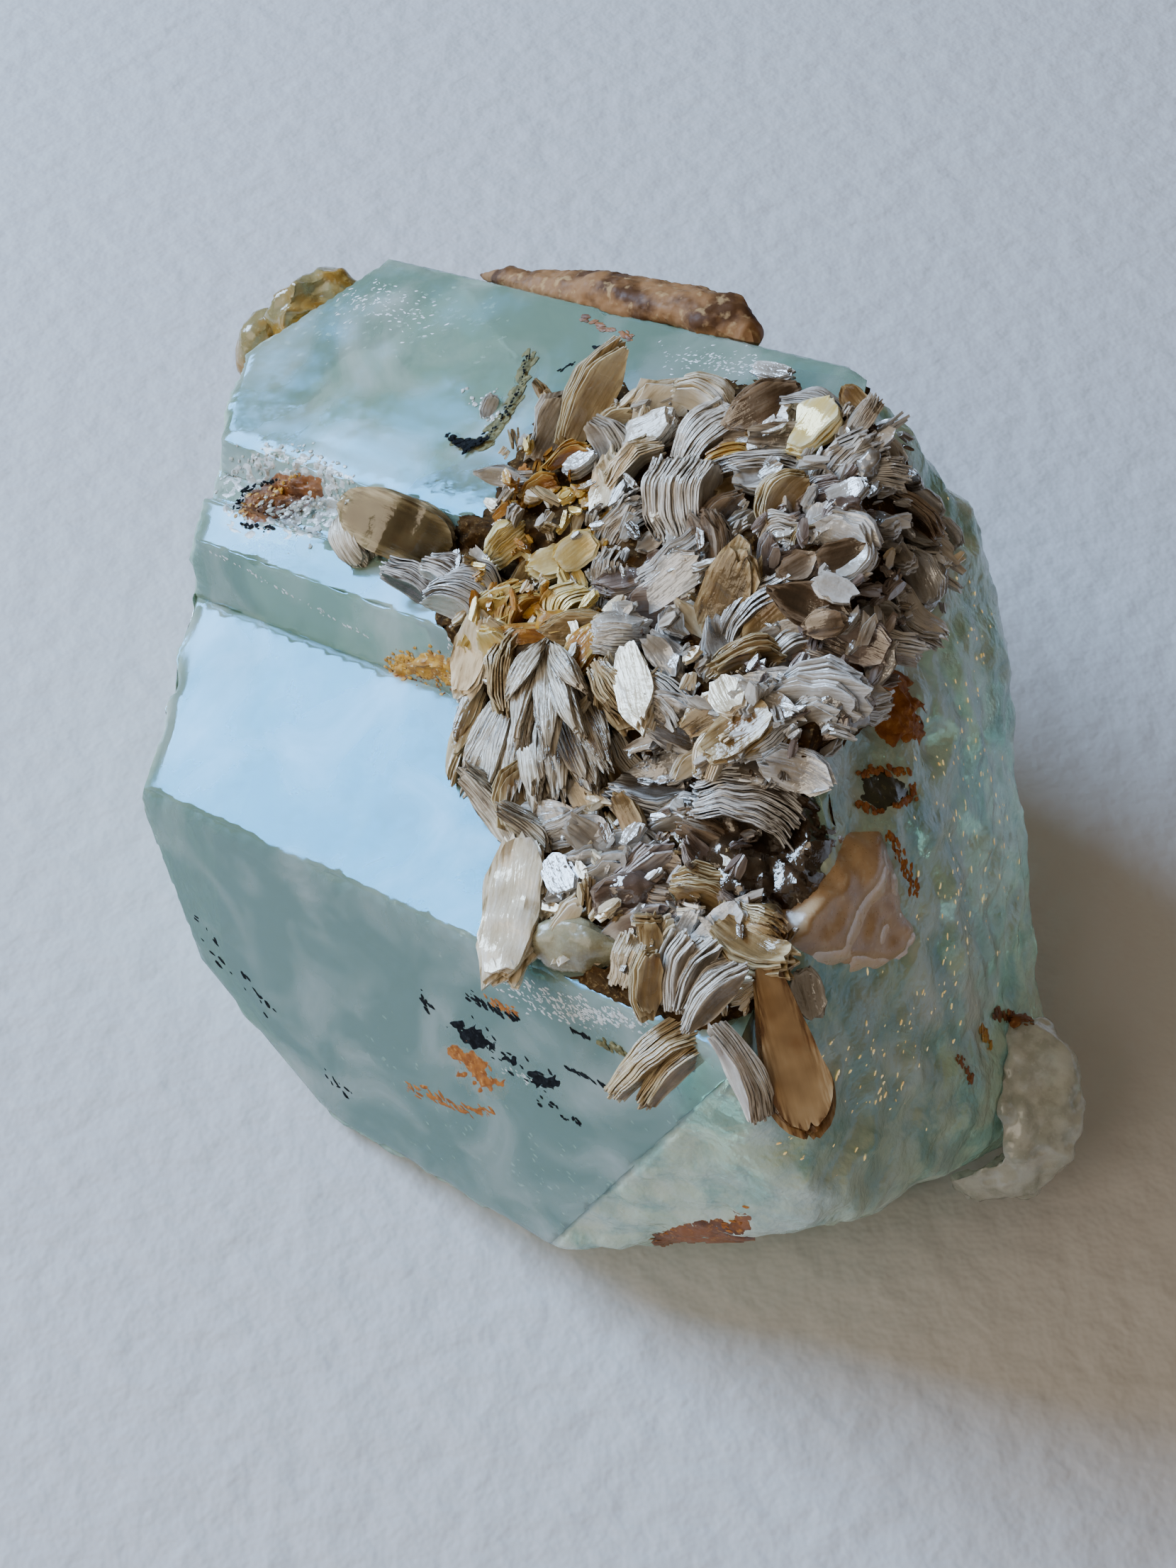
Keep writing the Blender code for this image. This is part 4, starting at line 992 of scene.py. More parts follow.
BOOKS: dict[str, tuple[str, MicaBook]] = {
    "ribbed_stack_book": ("mica", MicaBook(85, 0, 65, 5.2, 3.2, 3.2, Outline.HEXAGON, Mica.GREY, 30, 10, 0.3, 0.16)),
    "honey_book": ("honey", MicaBook(-75, 4, 0, 10.2, 4.0, 2.4, Outline.DROP, Mica.HONEY, 7, 3, 0.5, 0.05, 0.05,
                                     cells=20)),
    "barrel_book": ("umber", MicaBook(-22, 0, 8, 8.6, 4.2, 2.8, Outline.TAB, Mica.OLIVE, 9, 3, -0.8, 0.25, 0.06,
                                      cells=18)),
    "cream_blade": ("cream", MicaBook(-79, 0, 0, 6.3, 2.4, 0.9, Outline.BLADE, Mica.CREAM, 5, 3, 0.1, 0.05, 0.12,
                                      flat=True)),
    "crinkled_cream_book": ("cream", MicaBook(80, 0, 10, 9.2, 3.4, 1.6, Outline.HEXAGON, Mica.CREAM, 9, 5, 0.3, 0.4,
                                              0.16, flat=True, cells=20)),
    "golden_book": ("gold", MicaBook(55, 0, 0, 4.4, 3.2, 1.0, Outline.DROP, Mica.GOLD, 5, 3, 0.08, 0.2, 0.14,
                                     flat=True)),
    "dark_lens_book": ("umber", MicaBook(28, 0, 10, 5.6, 2.8, 1.4, Outline.LENS, Mica.UMBER, 8, 6, -0.5, 0.05, 0.05)),
    "tan_blade_book": ("tan", MicaBook(62, 10, 25, 7.6, 2.6, 1.4, Outline.BLADE, Mica.TAN, 10, 8, 0.4, 0.10)),
    "tan_splay_book": ("mica", MicaBook(-60, 0, 55, 3.4, 2.0, 1.2, Outline.HEXAGON, Mica.GREY, 9, 14, 0.5)),
    "blue_facet_book": ("silver", MicaBook(35, 0, 0, 2.4, 1.4, 0.8, Outline.HEXAGON, Mica.SILVER, 4, 2, 0.03, 0.02,
                                           flat=True)),
    "splinter_book": ("silver", MicaBook(-8, 0, 20, 3.7, 1.3, 0.7, Outline.LENS, Mica.SILVER, 5, 8, 0.2)),
    "feather_top_book": ("cream", MicaBook(-25, 0, 55, 3.9, 2.0, 1.3, Outline.HEXAGON, Mica.CREAM, 9, 20, 0.5, 0.15)),
    "feather_low_book": ("mica", MicaBook(50, 0, 65, 5.2, 2.0, 1.5, Outline.BLADE, Mica.GREY, 10, 16, 0.4)),
    "silver_rim_flake": ("silver", MicaBook(-20, 0, 0, 3.0, 1.2, 0.6, Outline.HEXAGON, Mica.SILVER, 4, 4, 0.1,
                                            flat=True)),
    "right_leaf_book": ("tan", MicaBook(-50, 0, 0, 2.8, 1.6, 0.7, Outline.TAB, Mica.TAN, 6, 8, 0.3)),
    "copper_edge_book": ("gold", MicaBook(12, 0, 60, 3.5, 1.3, 0.8, Outline.BLADE, Mica.RUSTY, 6, 8, 0.2)),
    "black_edge_book": ("umber", MicaBook(3, 0, 80, 5.8, 1.8, 0.8, Outline.HEXAGON, Mica.BLACK, 7, 5, 0.3)),
    "smoky_leaf_book": ("umber", MicaBook(50, 0, 20, 4.3, 2.1, 0.8, Outline.LENS, Mica.UMBER, 6, 8, 0.3)),
    "curved_leaf_book": ("tan", MicaBook(60, 0, 30, 4.2, 2.7, 1.0, Outline.TAB, Mica.TAN, 9, 10, 0.9)),
    "low_leaf_book": ("tan", MicaBook(45, 0, 20, 2.9, 1.6, 0.8, Outline.LENS, Mica.TAN, 6, 10, 0.5)),
    "glint_book": ("umber", MicaBook(10, 0, 0, 3.5, 2.2, 1.0, Outline.HEXAGON, Mica.UMBER, 7, 6, 0.2)),
    "bronze_sliver_book": ("umber", MicaBook(-35, 0, 60, 4.6, 1.4, 0.8, Outline.BLADE, Mica.UMBER, 6, 8, 0.3)),
    "cream_lens_book": ("cream", MicaBook(-48, 0, 0, 3.8, 1.5, 0.8, Outline.LENS, Mica.CREAM, 6, 4, 0.4)),
    "curved_blade_book": ("silver", MicaBook(58, 12, 50, 6.7, 1.8, 1.0, Outline.BLADE, Mica.BLACK, 9, 8, 1.0)),
    "second_blade_book": ("mica", MicaBook(42, 0, 50, 4.0, 1.4, 0.8, Outline.BLADE, Mica.GREY, 7, 10, 0.5)),
    "brown_leaf_book": ("umber", MicaBook(-20, 0, 0, 5.6, 2.6, 0.8, Outline.LENS, Mica.UMBER, 7, 5, 0.3)),
    "crumpled_flake": ("silver", MicaBook(-50, 0, 20, 3.0, 1.6, 0.9, Outline.HEXAGON, Mica.SILVER, 7, 12, 0.3, 0.35,
                                          0.2)),
    "olive_flake": ("umber", MicaBook(-68, 0, 0, 4.8, 2.0, 0.6, Outline.HEXAGON, Mica.TAN, 4, 3, 0.1)),
    "bright_flake": ("cream", MicaBook(-65, 0, 0, 2.9, 2.0, 0.9, Outline.HEXAGON, Mica.CREAM, 5, 3, 0.08, 0.05, 0.15,
                                       flat=True)),
    "pointed_blade_book": ("cream", MicaBook(35, 0, 20, 3.2, 1.4, 0.8, Outline.LENS, Mica.CREAM, 6, 8, 0.3)),
    "black_rib_book": ("silver", MicaBook(-12, 0, 80, 6.4, 2.4, 2.8, Outline.HEXAGON, Mica.BLACK, 24, 12, 0.7, 0.22)),
    "silver_flake": ("silver", MicaBook(-60, 0, 0, 3.2, 2.0, 0.7, Outline.HEXAGON, Mica.SILVER, 4, 2, 0.05, 0.06,
                                        0.12, flat=True)),
    "round_flake": ("silver", MicaBook(0, 0, 0, 2.6, 1.5, 0.7, Outline.TAB, Mica.SILVER, 5, 3, 0.1)),
    "angular_book": ("tan", MicaBook(-65, 0, 20, 3.1, 1.5, 0.9, Outline.HEXAGON, Mica.TAN, 7, 6, 0.2)),
    "upright_blade_book": ("tan", MicaBook(88, 0, 20, 3.8, 1.6, 0.9, Outline.HEXAGON, Mica.TAN, 7, 8, 0.2)),
    "spindle_book": ("mica", MicaBook(47, 0, 30, 5.0, 1.5, 1.1, Outline.LENS, Mica.GREY, 9, 6, 0.2)),
    "honey_flank_book": ("cream", MicaBook(-62, 0, 60, 6.0, 1.4, 1.0, Outline.BLADE, Mica.GREY, 8, 6, 0.3)),
    "silver_tab_book": ("silver", MicaBook(-75, 0, 0, 3.0, 1.8, 0.8, Outline.HEXAGON, Mica.SILVER, 6, 4, 0.1)),
}


# ------------------------------------------------------------------ intergrown groups
@dataclass(frozen=True)
class Blade:
    """A book at a known place: where its middle is seen, in view steps, and how far it stands out, in mm."""

    across: float
    down: float
    stand: float
    book: MicaBook


@dataclass
class BladeGroup:
    """Blades that grew into each other, as one piece."""

    node: str
    slot: str
    blades: tuple[Blade, ...]
    finish: Mica = Mica.GREY
    seed: int = 900

    def build(self, ground: Sequence[BVHTree]) -> BVHTree:
        """Makes the group on the surfaces given, and returns its own surface in mm."""
        pile = Pile()
        for index, blade in enumerate(self.blades):
            point, _ = VIEW.hit(ground, blade.across, blade.down)
            blade.book.pour(pile, point + VIEW.towards * blade.stand, self.seed + index)
        return make_piece(self.node, pile.close(), self.finish, [self.node])


def feather(across: float, down: float, stand: float, turn: float, roll: float, length: float, width: float,
            outline: Outline, curl: float, thick: float = 0.9, sheets: int = 7, cells: int = 16) -> Blade:
    """Returns one long blade of the fan, bowed like a feather: see Blade and MicaBook for the values."""
    book = MicaBook(turn, 0, roll, length, width, thick, outline, sheets=sheets, fan=3, curl=curl, flat=True,
                    cells=cells)
    return Blade(across, down, stand, book)


FAN = BladeGroup("mica_fan", "mica", (
    feather(713, 1002, 1.2, -120, -22, 11.4, 2.0, Outline.DROP, -0.9),
    feather(728, 1016, 1.6, -110, 18, 11.8, 2.1, Outline.DROP, -0.9),
    feather(745, 1021, 1.9, -102, -24, 11.9, 1.9, Outline.BLADE, -1.0),
    feather(763, 1022, 1.6, -93, 20, 11.6, 2.0, Outline.DROP, -1.0),
    feather(783, 1020, 2.0, -84, -26, 11.4, 1.9, Outline.BLADE, -1.0),
    feather(802, 1012, 1.7, -75, 16, 11.0, 2.1, Outline.DROP, -0.9),
    feather(819, 1000, 1.3, -65, -20, 10.2, 2.0, Outline.BLADE, -0.8),
    feather(752, 975, 2.6, -104, 24, 8.0, 1.6, Outline.LENS, -0.7, 0.7, 6, 12),
    feather(773, 985, 2.7, -88, -24, 8.6, 1.7, Outline.LENS, -0.7, 0.7, 6, 12),
    feather(795, 974, 2.4, -72, 22, 8.0, 1.6, Outline.LENS, -0.7, 0.7, 6, 12),
    Blade(742, 945, 2.2, MicaBook(-122, 0, -20, 4.6, 1.3, 0.7, Outline.LENS, sheets=7, fan=4, curl=-0.5, flat=True)),
    Blade(800, 942, 2.2, MicaBook(-56, 0, 20, 4.6, 1.3, 0.7, Outline.LENS, sheets=7, fan=4, curl=-0.5, flat=True)),
    Blade(705, 1140, 1.2, MicaBook(-52, 0, 34, 6.4, 2.0, 1.3, Outline.BLADE, sheets=14, fan=9, curl=0.4)),
    Blade(745, 1165, 1.0, MicaBook(-40, 0, 28, 4.4, 1.7, 1.0, Outline.DROP, sheets=9, fan=7, curl=0.4)),
), finish=Mica.SILKY)
SMALL_FAN = BladeGroup("small_mica_fan", "mica", (
    Blade(950, 1365, 1.2, MicaBook(80, 0, 35, 4.4, 1.2, 1.0, Outline.BLADE, sheets=9, fan=14)),
    Blade(972, 1370, 1.4, MicaBook(64, 0, 35, 4.6, 1.4, 1.0, Outline.BLADE, sheets=9, fan=14)),
    Blade(992, 1380, 1.2, MicaBook(48, 0, 35, 4.2, 1.2, 0.9, Outline.BLADE, sheets=9, fan=14)),
), seed=930)
CROSSED = BladeGroup("crossed_blades", "mica", (
    Blade(922, 1483, 1.5, MicaBook(40, 4, 60, 7.0, 1.6, 1.1, Outline.BLADE, sheets=10, fan=8)),
    Blade(950, 1500, 1.0, MicaBook(46, 4, 50, 5.8, 1.4, 0.9, Outline.BLADE, sheets=8, fan=8)),
), finish=Mica.TAN, seed=950)


# ------------------------------------------------------------------ the small flakes
@dataclass(frozen=True)
class Zone:
    """A part of the crust: its middle in view steps, the finishes found there and how flakes lie."""

    across: float
    down: float
    mix: str
    turn: float = 60.0
    sweep: float = 50.0

    @property
    def finishes(self) -> tuple[Mica, ...]:
        """The mica finishes named in the mix."""
        return tuple(Mica[word.upper()] for word in self.mix.split())


@dataclass
class SmallFlakes:
    """The small flakes that fill the crust between the books, in sprigs of a few sheets each."""

    outline: Points
    zones: tuple[Zone, ...]
    count: int = 1000
    book_tries: int = 2600
    book_gap: float = 36.0           # view steps between the middles of small books
    book_margin: float = 28.0        # view steps that small books keep from the outline
    sprig_margin: float = 14.0       # the same for the sprigs
    book_slack: float = 0.4          # mm that a large book may stand in front of a small one
    sprig_slack: float = 0.6         # the same for the sprigs
    small: float = 0.7               # mm, shortest sprig
    large: float = 2.4               # mm, longest sprig
    plates: float = 0.62             # share of small books that show their faces
    placed: tuple[Blade, ...] = ()   # small books whose places are known
    glints: float = 0.46             # share of sprigs that lie flat and catch the light
    hollows: tuple[tuple[float, float, float], ...] = (      # across, down and reach, in view steps
        (785, 722, 62), (838, 860, 24), (1245, 1115, 40), (1070, 1215, 70), (1150, 1200, 50), (830, 1345, 55))
    seed: int = 77

    def sprig(self, length: float, draw: random.Random) -> bmesh.types.BMesh:
        """Builds one sprig: three or four thin plates on top of each other."""
        whole = Pile()
        sides = draw.choice((5, 6, 7))
        thin = draw.uniform(0.08, 0.14) + 0.03 * length
        slim = draw.uniform(0.22, 0.5)
        for layer in range(draw.choice((3, 3, 4))):
            bm, tint, rim, ruled = new_sheet()
            bmesh.ops.create_circle(bm, cap_ends=True, segments=sides, radius=0.5)
            tone, seed = draw.random(), draw.uniform(0, 50)
            for vert in bm.verts:
                out = draw.uniform(0.8, 1.12)
                vert.co = (vert.co.x * length * out, vert.co.y * length * slim * out, draw.uniform(-0.3, 0.3) * thin)
                # a rim of 0.35 all over gives the sprigs stronger fibres and part of the painted rim highlight
                vert[tint], vert[rim] = tone, 0.35
                vert[ruled] = (vert.co.x, vert.co.y, seed)
            moved = thicken(bm)
            bmesh.ops.translate(bm, verts=moved, vec=(0, 0, thin * 0.92))
            for vert in moved:
                vert[ruled] += Vector((0, 0, thin))
            tilt = Matrix.Rotation(draw.uniform(-0.16, 0.16), 4, "Y") @ Matrix.Rotation(
                draw.uniform(-0.35, 0.35), 4, "Z")
            bm.transform(Matrix.Translation((draw.uniform(-0.1, 0.1) * length, 0, layer * thin * 1.15)) @ tilt)
            bmesh.ops.recalc_face_normals(bm, faces=bm.faces)
            whole.add(bm)
        return whole.close()

    def is_bare(self, across: float, down: float) -> bool:
        """Tells whether a view step is in one of the hollows that no book covers."""
        return any(math.hypot(across - a, down - d) < reach for a, d, reach in self.hollows)

    def zone_at(self, across: float, down: float) -> Zone:
        """Returns the zone whose middle is nearest."""
        return min(self.zones, key=lambda z: (z.across - across) ** 2 + (z.down - down) ** 2)

    @staticmethod
    def open_ground(ground: Sequence[BVHTree], blockers: Sequence[BVHTree], across: float, down: float,
                    slack: float) -> tuple[Vector, Vector] | None:
        """Drops a view step on the ground, unless a book stands in front.

        Args:
            ground: The surfaces to land on.
            blockers: The books.
            across: Steps from the view's left side.
            down: Steps from its top.
            slack: How far in front a book may stand and still not count, in mm.

        Returns:
            The point and the surface normal there, or None.
        """
        found = VIEW.hit(ground, across, down)
        hidden = VIEW.hit(blockers, across, down)
        if found and hidden and (hidden[0] - VIEW.eye).length < (found[0] - VIEW.eye).length - slack:
            return None
        return found

    def small_books(self, ground: Sequence[BVHTree], blockers: Sequence[BVHTree], draw: random.Random,
                    piles: dict[Mica, Pile]) -> None:
        """Adds the small books that stand shoulder to shoulder between the large ones."""
        lows, highs = reach_of(self.outline)
        taken: list[Vector] = []
        for _ in range(self.book_tries):
            spot = Vector((draw.uniform(lows[0], highs[0]), draw.uniform(lows[1], highs[1])))
            if share_inside(self.outline, *spot, self.book_margin) < 1.0:
                continue
            if any((spot - other).length < self.book_gap for other in taken) or self.is_bare(*spot) or any(
                    math.hypot(spot.x - blade.across, spot.y - blade.down) < self.book_gap for blade in self.placed):
                continue
            found = self.open_ground(ground, blockers, *spot, self.book_slack)
            if found is None:
                continue
            point, _ = found
            taken.append(spot)
            zone = self.zone_at(*spot)
            length = draw.uniform(2.4, 5.6)
            finish = draw.choice(zone.finishes)
            plate = draw.random() < self.plates
            book = MicaBook(turn=zone.turn + draw.gauss(0, 0.45) * zone.sweep, lean=draw.uniform(-10, 30),
                            roll=draw.choice((-1, 1)) * (draw.uniform(0, 40) if plate else draw.uniform(35, 88)),
                            length=length, width=length * draw.uniform(0.35, 0.7),
                            thick=draw.uniform(0.4, 0.9) if plate else draw.uniform(0.9, 2.0),
                            outline=draw.choice((Outline.HEXAGON, Outline.TAB, Outline.HEXAGON, Outline.DROP,
                                                 Outline.BLADE)),
                            finish=finish, sheets=draw.choice((4, 5, 6)) if plate else draw.choice((12, 15, 18)),
                            fan=draw.uniform(3, 12), curl=draw.uniform(-0.3, 0.7), ripple=draw.uniform(0.1, 0.3),
                            ragged=0.2, cells=6)
            book.pour(piles.setdefault(finish, Pile()), point + VIEW.towards * draw.uniform(0.0, 1.2),
                      draw.randrange(100000))

    def sprig_pose(self, point: Vector, normal: Vector, zone: Zone, length: float, draw: random.Random) -> Matrix:
        """Returns how one sprig lies: most stand at any angle, and some lie flat and catch the light.

        Args:
            point: Where it is rooted, in mm.
            normal: The ground's normal there.
            zone: The zone that it grows in.
            length: Its length, in mm.
            draw: The random source.
        """
        turn = math.radians(zone.turn + draw.gauss(0, 1) * zone.sweep)
        lean = math.radians(draw.uniform(-5, 65))
        long_axis = flattened(VIEW.direction(turn), normal)
        long_axis = (long_axis * math.cos(lean) + normal * math.sin(lean)).normalized()
        roll = math.radians(draw.choice((-1, 1)) * draw.uniform(5, 90))
        sheet_normal = Matrix.Rotation(roll, 3, long_axis) @ flattened(normal, long_axis)
        if draw.random() < self.glints:
            sheet_normal = (NORMAL + Vector([draw.gauss(0, 0.09) for _ in range(3)])).normalized()
            long_axis = flattened(long_axis, sheet_normal)
        return laid(long_axis, sheet_normal, point + long_axis * length * 0.28 + normal * draw.uniform(0.0, 1.3))

    def sprigs(self, ground: Sequence[BVHTree], blockers: Sequence[BVHTree], draw: random.Random,
               piles: dict[Mica, Pile]) -> None:
        """Scatters the sprigs over what the books leave in view."""
        lows, highs = reach_of(self.outline)
        placed = 0
        while placed < self.count:
            across, down = draw.uniform(lows[0], highs[0]), draw.uniform(lows[1], highs[1])
            if share_inside(self.outline, across, down, self.sprig_margin) < 1.0:
                continue
            placed += 1
            found = self.open_ground(ground, blockers, across, down, self.sprig_slack)
            if found is None:
                continue
            zone = self.zone_at(across, down)
            length = draw.uniform(self.small, self.large) * draw.uniform(0.7, 1.0)
            pose = self.sprig_pose(*found, zone, length, draw)
            sprig = self.sprig(length, draw)
            sprig.transform(pose)
            piles.setdefault(draw.choice(zone.finishes), Pile()).add(sprig)

    def build(self, ground: Sequence[BVHTree], blockers: Sequence[BVHTree]) -> None:
        """Makes one piece for each finish, of books at known places, other small books and sprigs.

        Args:
            ground: The surfaces that they stand on.
            blockers: The large books, which they leave in view.
        """
        draw = random.Random(self.seed)
        piles: dict[Mica, Pile] = {}
        for index, blade in enumerate(self.placed):
            point, _ = VIEW.hit(ground, blade.across, blade.down)
            blade.book.pour(piles.setdefault(blade.book.finish, Pile()), point + VIEW.towards * blade.stand,
                            FIRST_PLACED_SEED + index)
        self.small_books(ground, blockers, draw, piles)
        self.sprigs(ground, blockers, draw, piles)
        for finish, pile in piles.items():
            make_piece("small_flakes_" + finish.name.lower(), pile.close(), finish)


ZONES = (
    Zone(700, 640, "silver cream tan grey", 20), Zone(760, 590, "grey tan tan", 65),
    Zone(790, 700, "rusty rusty gold tan cream", 40), Zone(740, 760, "rusty tan gold grey", 20),
    Zone(880, 640, "grey tan grey cream", 60), Zone(1000, 590, "cream grey silver", 60),
    Zone(1110, 540, "silver clear silver", 0), Zone(1180, 590, "silver clear grey", 40),
    Zone(1060, 660, "grey black tan", 10), Zone(880, 760, "clear grey black", 45),
    Zone(960, 740, "clear umber silver", 60), Zone(1080, 760, "grey clear plum", 50),
    Zone(1180, 730, "clear plum silver", 20), Zone(1260, 700, "clear silver umber", -30),
    Zone(1310, 760, "silver clear cream", -40), Zone(1300, 850, "clear clear silver", -50),
    Zone(1220, 870, "clear grey plum", 10), Zone(640, 770, "grey umber tan", -20), Zone(560, 720, "grey tan", -20),
    Zone(730, 850, "rusty tan gold cream", 60), Zone(800, 860, "rusty gold tan cream", 20),
    Zone(930, 850, "grey plum clear", 10), Zone(1050, 850, "grey clear tan", 50),
    Zone(1140, 860, "clear plum umber", 30), Zone(640, 960, "gold tan rusty cream", 70),
    Zone(700, 1000, "grey tan", 70), Zone(800, 1030, "grey grey cream", -80), Zone(870, 980, "tan grey cream", -80),
    Zone(950, 930, "silver grey cream", -50), Zone(1020, 1000, "cream tan grey", 40),
    Zone(1100, 1010, "clear plum silver", 0), Zone(1180, 1000, "silver clear plum", 0),
    Zone(1250, 980, "clear rusty plum", 60), Zone(700, 1100, "grey tan", -50),
    Zone(780, 1150, "silver clear silver", 0), Zone(850, 1100, "grey tan cream", -40),
    Zone(950, 1080, "silver black grey", 0), Zone(1060, 1120, "black silver umber", -12),
    Zone(1100, 1220, "umber umber plum", -30), Zone(1000, 1220, "umber plum tan", -30),
    Zone(900, 1250, "plum clear umber", 20), Zone(790, 1230, "silver clear cream", -50),
    Zone(840, 1330, "grey tan cream", 20), Zone(920, 1380, "tan cream grey", 85),
    Zone(1010, 1350, "clear silver cream", 50), Zone(1090, 1330, "umber grey tan", -40),
    Zone(1130, 1380, "silver tan", -70), Zone(1040, 1440, "tan cream grey", -60),
)


def glint(across: float, down: float, stand: float, turn: float, roll: float, length: float, width: float,
          outline: Outline, finish: Mica, curl: float) -> Blade:
    """Returns a small flat book that catches the light: see Blade and MicaBook for the values."""
    return Blade(across, down, stand, MicaBook(turn, 0, roll, length, width, 0.6, outline, finish, 5, 6, curl, 0.1,
                                               flat=True))


PLACED = (
    Blade(658, 842, 1.0, MicaBook(-30, 0, 60, 4.4, 2.6, 2.2, Outline.TAB, Mica.SILVER, 16, 26, 1.3, 0.2)),
    Blade(510, 768, 3.2, MicaBook(-66, 0, 30, 4.2, 2.2, 1.8, Outline.TAB, Mica.SILKY, 12, 12, -0.8, 0.1)),
    Blade(588, 822, 1.2, MicaBook(-30, 0, 70, 4.6, 1.4, 1.2, Outline.BLADE, Mica.BLACK, 12, 8, 0.3, 0.2)),
    Blade(676, 985, 1.0, MicaBook(-112, 0, -15, 8.4, 1.5, 0.7, Outline.DROP, Mica.TAN, 6, 4, -0.6, 0.1, flat=True)),
    Blade(655, 1050, 0.8, MicaBook(-105, 0, 20, 5.6, 1.3, 0.7, Outline.LENS, Mica.TAN, 6, 4, -0.4, 0.1, flat=True)),
    glint(1192, 700, 1.4, 20, 12, 2.6, 1.5, Outline.HEXAGON, Mica.SILVER, 0.2),
    glint(1240, 745, 1.2, -30, -10, 2.8, 1.4, Outline.HEXAGON, Mica.SILVER, 0.2),
    glint(1282, 680, 1.0, -45, 8, 2.4, 1.2, Outline.LENS, Mica.SILVER, 0.2),
    glint(1205, 800, 1.2, 50, -12, 3.0, 1.6, Outline.TAB, Mica.CLEAR, 0.3),
    glint(1150, 745, 1.4, 70, 14, 2.8, 1.5, Outline.HEXAGON, Mica.SILVER, 0.2),
    glint(1268, 790, 1.0, -60, -8, 2.6, 1.4, Outline.HEXAGON, Mica.CLEAR, 0.3),
    Blade(640, 812, 1.4, MicaBook(-28, 0, 75, 4.0, 1.6, 1.4, Outline.BLADE, Mica.BLACK, 12, 14, 0.4, 0.2)),
    Blade(722, 858, 1.0, MicaBook(62, 0, 60, 3.4, 1.8, 1.5, Outline.BLADE, Mica.RUSTY, 12, 18, 0.6, 0.2)),
    Blade(795, 852, 0.9, MicaBook(50, 0, 60, 3.0, 1.6, 1.3, Outline.LENS, Mica.GOLD, 11, 14, 0.5, 0.2)),
    Blade(925, 718, 2.4, MicaBook(86, 0, 0, 2.6, 0.95, 0.4, Outline.HEXAGON, Mica.CREAM, 4, 2, 0.05, 0.04,
                                  flat=True)),
    Blade(1150, 578, 1.2, MicaBook(-25, 0, 60, 4.4, 1.2, 1.0, Outline.LENS, Mica.SILVER, 10, 14, 0.7, 0.15)),
    Blade(1305, 712, 1.0, MicaBook(-40, 0, 20, 2.4, 1.4, 0.8, Outline.HEXAGON, Mica.SILVER, 8, 10, 0.2, 0.2)),
    Blade(1333, 752, 0.8, MicaBook(-50, 0, 20, 2.4, 1.4, 0.8, Outline.HEXAGON, Mica.SILVER, 8, 10, 0.2, 0.2)),
    Blade(1300, 815, 1.0, MicaBook(-60, 0, 30, 3.4, 2.0, 1.0, Outline.HEXAGON, Mica.SILVER, 9, 12, 0.3, 0.2)),
    Blade(1232, 868, 0.9, MicaBook(5, 0, 20, 2.8, 1.5, 0.9, Outline.TAB, Mica.SILVER, 9, 10, 0.5, 0.15)),
    Blade(690, 575, 0.2, MicaBook(70, 0, 20, 1.8, 1.0, 0.5, Outline.HEXAGON, Mica.SILVER, 6, 10, 0.2, 0.2)),
    Blade(696, 714, 0.4, MicaBook(-30, 0, 0, 1.5, 1.0, 0.3, Outline.DROP, Mica.CREAM, 3, 2, 0.05, 0.04, flat=True)),
    Blade(812, 778, 0.8, MicaBook(40, 0, 10, 3.0, 2.0, 0.7, Outline.HEXAGON, Mica.GOLD, 6, 6, 0.2, 0.1)),
    Blade(762, 690, 0.5, MicaBook(30, 0, 20, 2.6, 1.6, 0.8, Outline.HEXAGON, Mica.RUSTY, 7, 8, 0.3, 0.15)),
    Blade(932, 860, 1.4, MicaBook(5, 0, 15, 4.6, 3.0, 0.9, Outline.TAB, Mica.PLUM, 8, 5, 0.3, 0.15)),
    Blade(1010, 1058, 1.0, MicaBook(60, 0, 60, 3.8, 1.6, 1.3, Outline.BLADE, Mica.CREAM, 12, 14, 0.4, 0.2)),
    Blade(1205, 905, 1.2, MicaBook(-20, 0, 10, 4.0, 2.6, 0.8, Outline.HEXAGON, Mica.PLUM, 7, 6, 0.3, 0.15)),
    Blade(1100, 905, 1.2, MicaBook(20, 0, 10, 3.6, 2.2, 0.8, Outline.TAB, Mica.GREY, 8, 6, 0.4, 0.15)),
    Blade(878, 1262, 1.2, MicaBook(10, 0, 10, 3.6, 2.4, 0.9, Outline.HEXAGON, Mica.PLUM, 8, 6, 0.3, 0.15)),
    Blade(935, 1218, 1.0, MicaBook(-10, 0, 10, 2.8, 1.9, 0.9, Outline.TAB, Mica.UMBER, 8, 6, 0.3, 0.12)),
)
CRUST_OUTLINE = ((700, 668), (745, 600), (790, 528), (850, 520), (900, 560), (1000, 530), (1090, 530), (1200, 550),
                 (1270, 620), (1320, 700), (1340, 790), (1320, 880), (1270, 930), (1250, 1020), (1180, 1060),
                 (1130, 1110), (1080, 1170), (1090, 1280), (1120, 1370), (1110, 1420), (1020, 1440), (950, 1430),
                 (880, 1400), (800, 1360), (750, 1330), (760, 1240), (690, 1150), (670, 1080), (655, 980), (640, 930),
                 (610, 880), (600, 800), (640, 740), (690, 715))


# ------------------------------------------------------------------ crumbs, veins and inclusions
@dataclass(frozen=True)
class Trail:
    """Crumbs strewn along a line on the show side.

    Sizes are mm, and the line and its spread are view steps. Stretch lengthens each crumb along the
    line, sink sets how much of it is below the surface, and flat presses it down.
    """

    name: str
    line: Points
    finish: Grain | Mica
    count: int
    size: tuple[float, float]
    spread: float = 6.0
    stretch: float = 1.3
    flat: float = 0.5
    sink: float = 0.2
    slot: str = "bed"
    depth: float = 0.0               # mm below the surface for what is sealed inside, or above it below zero


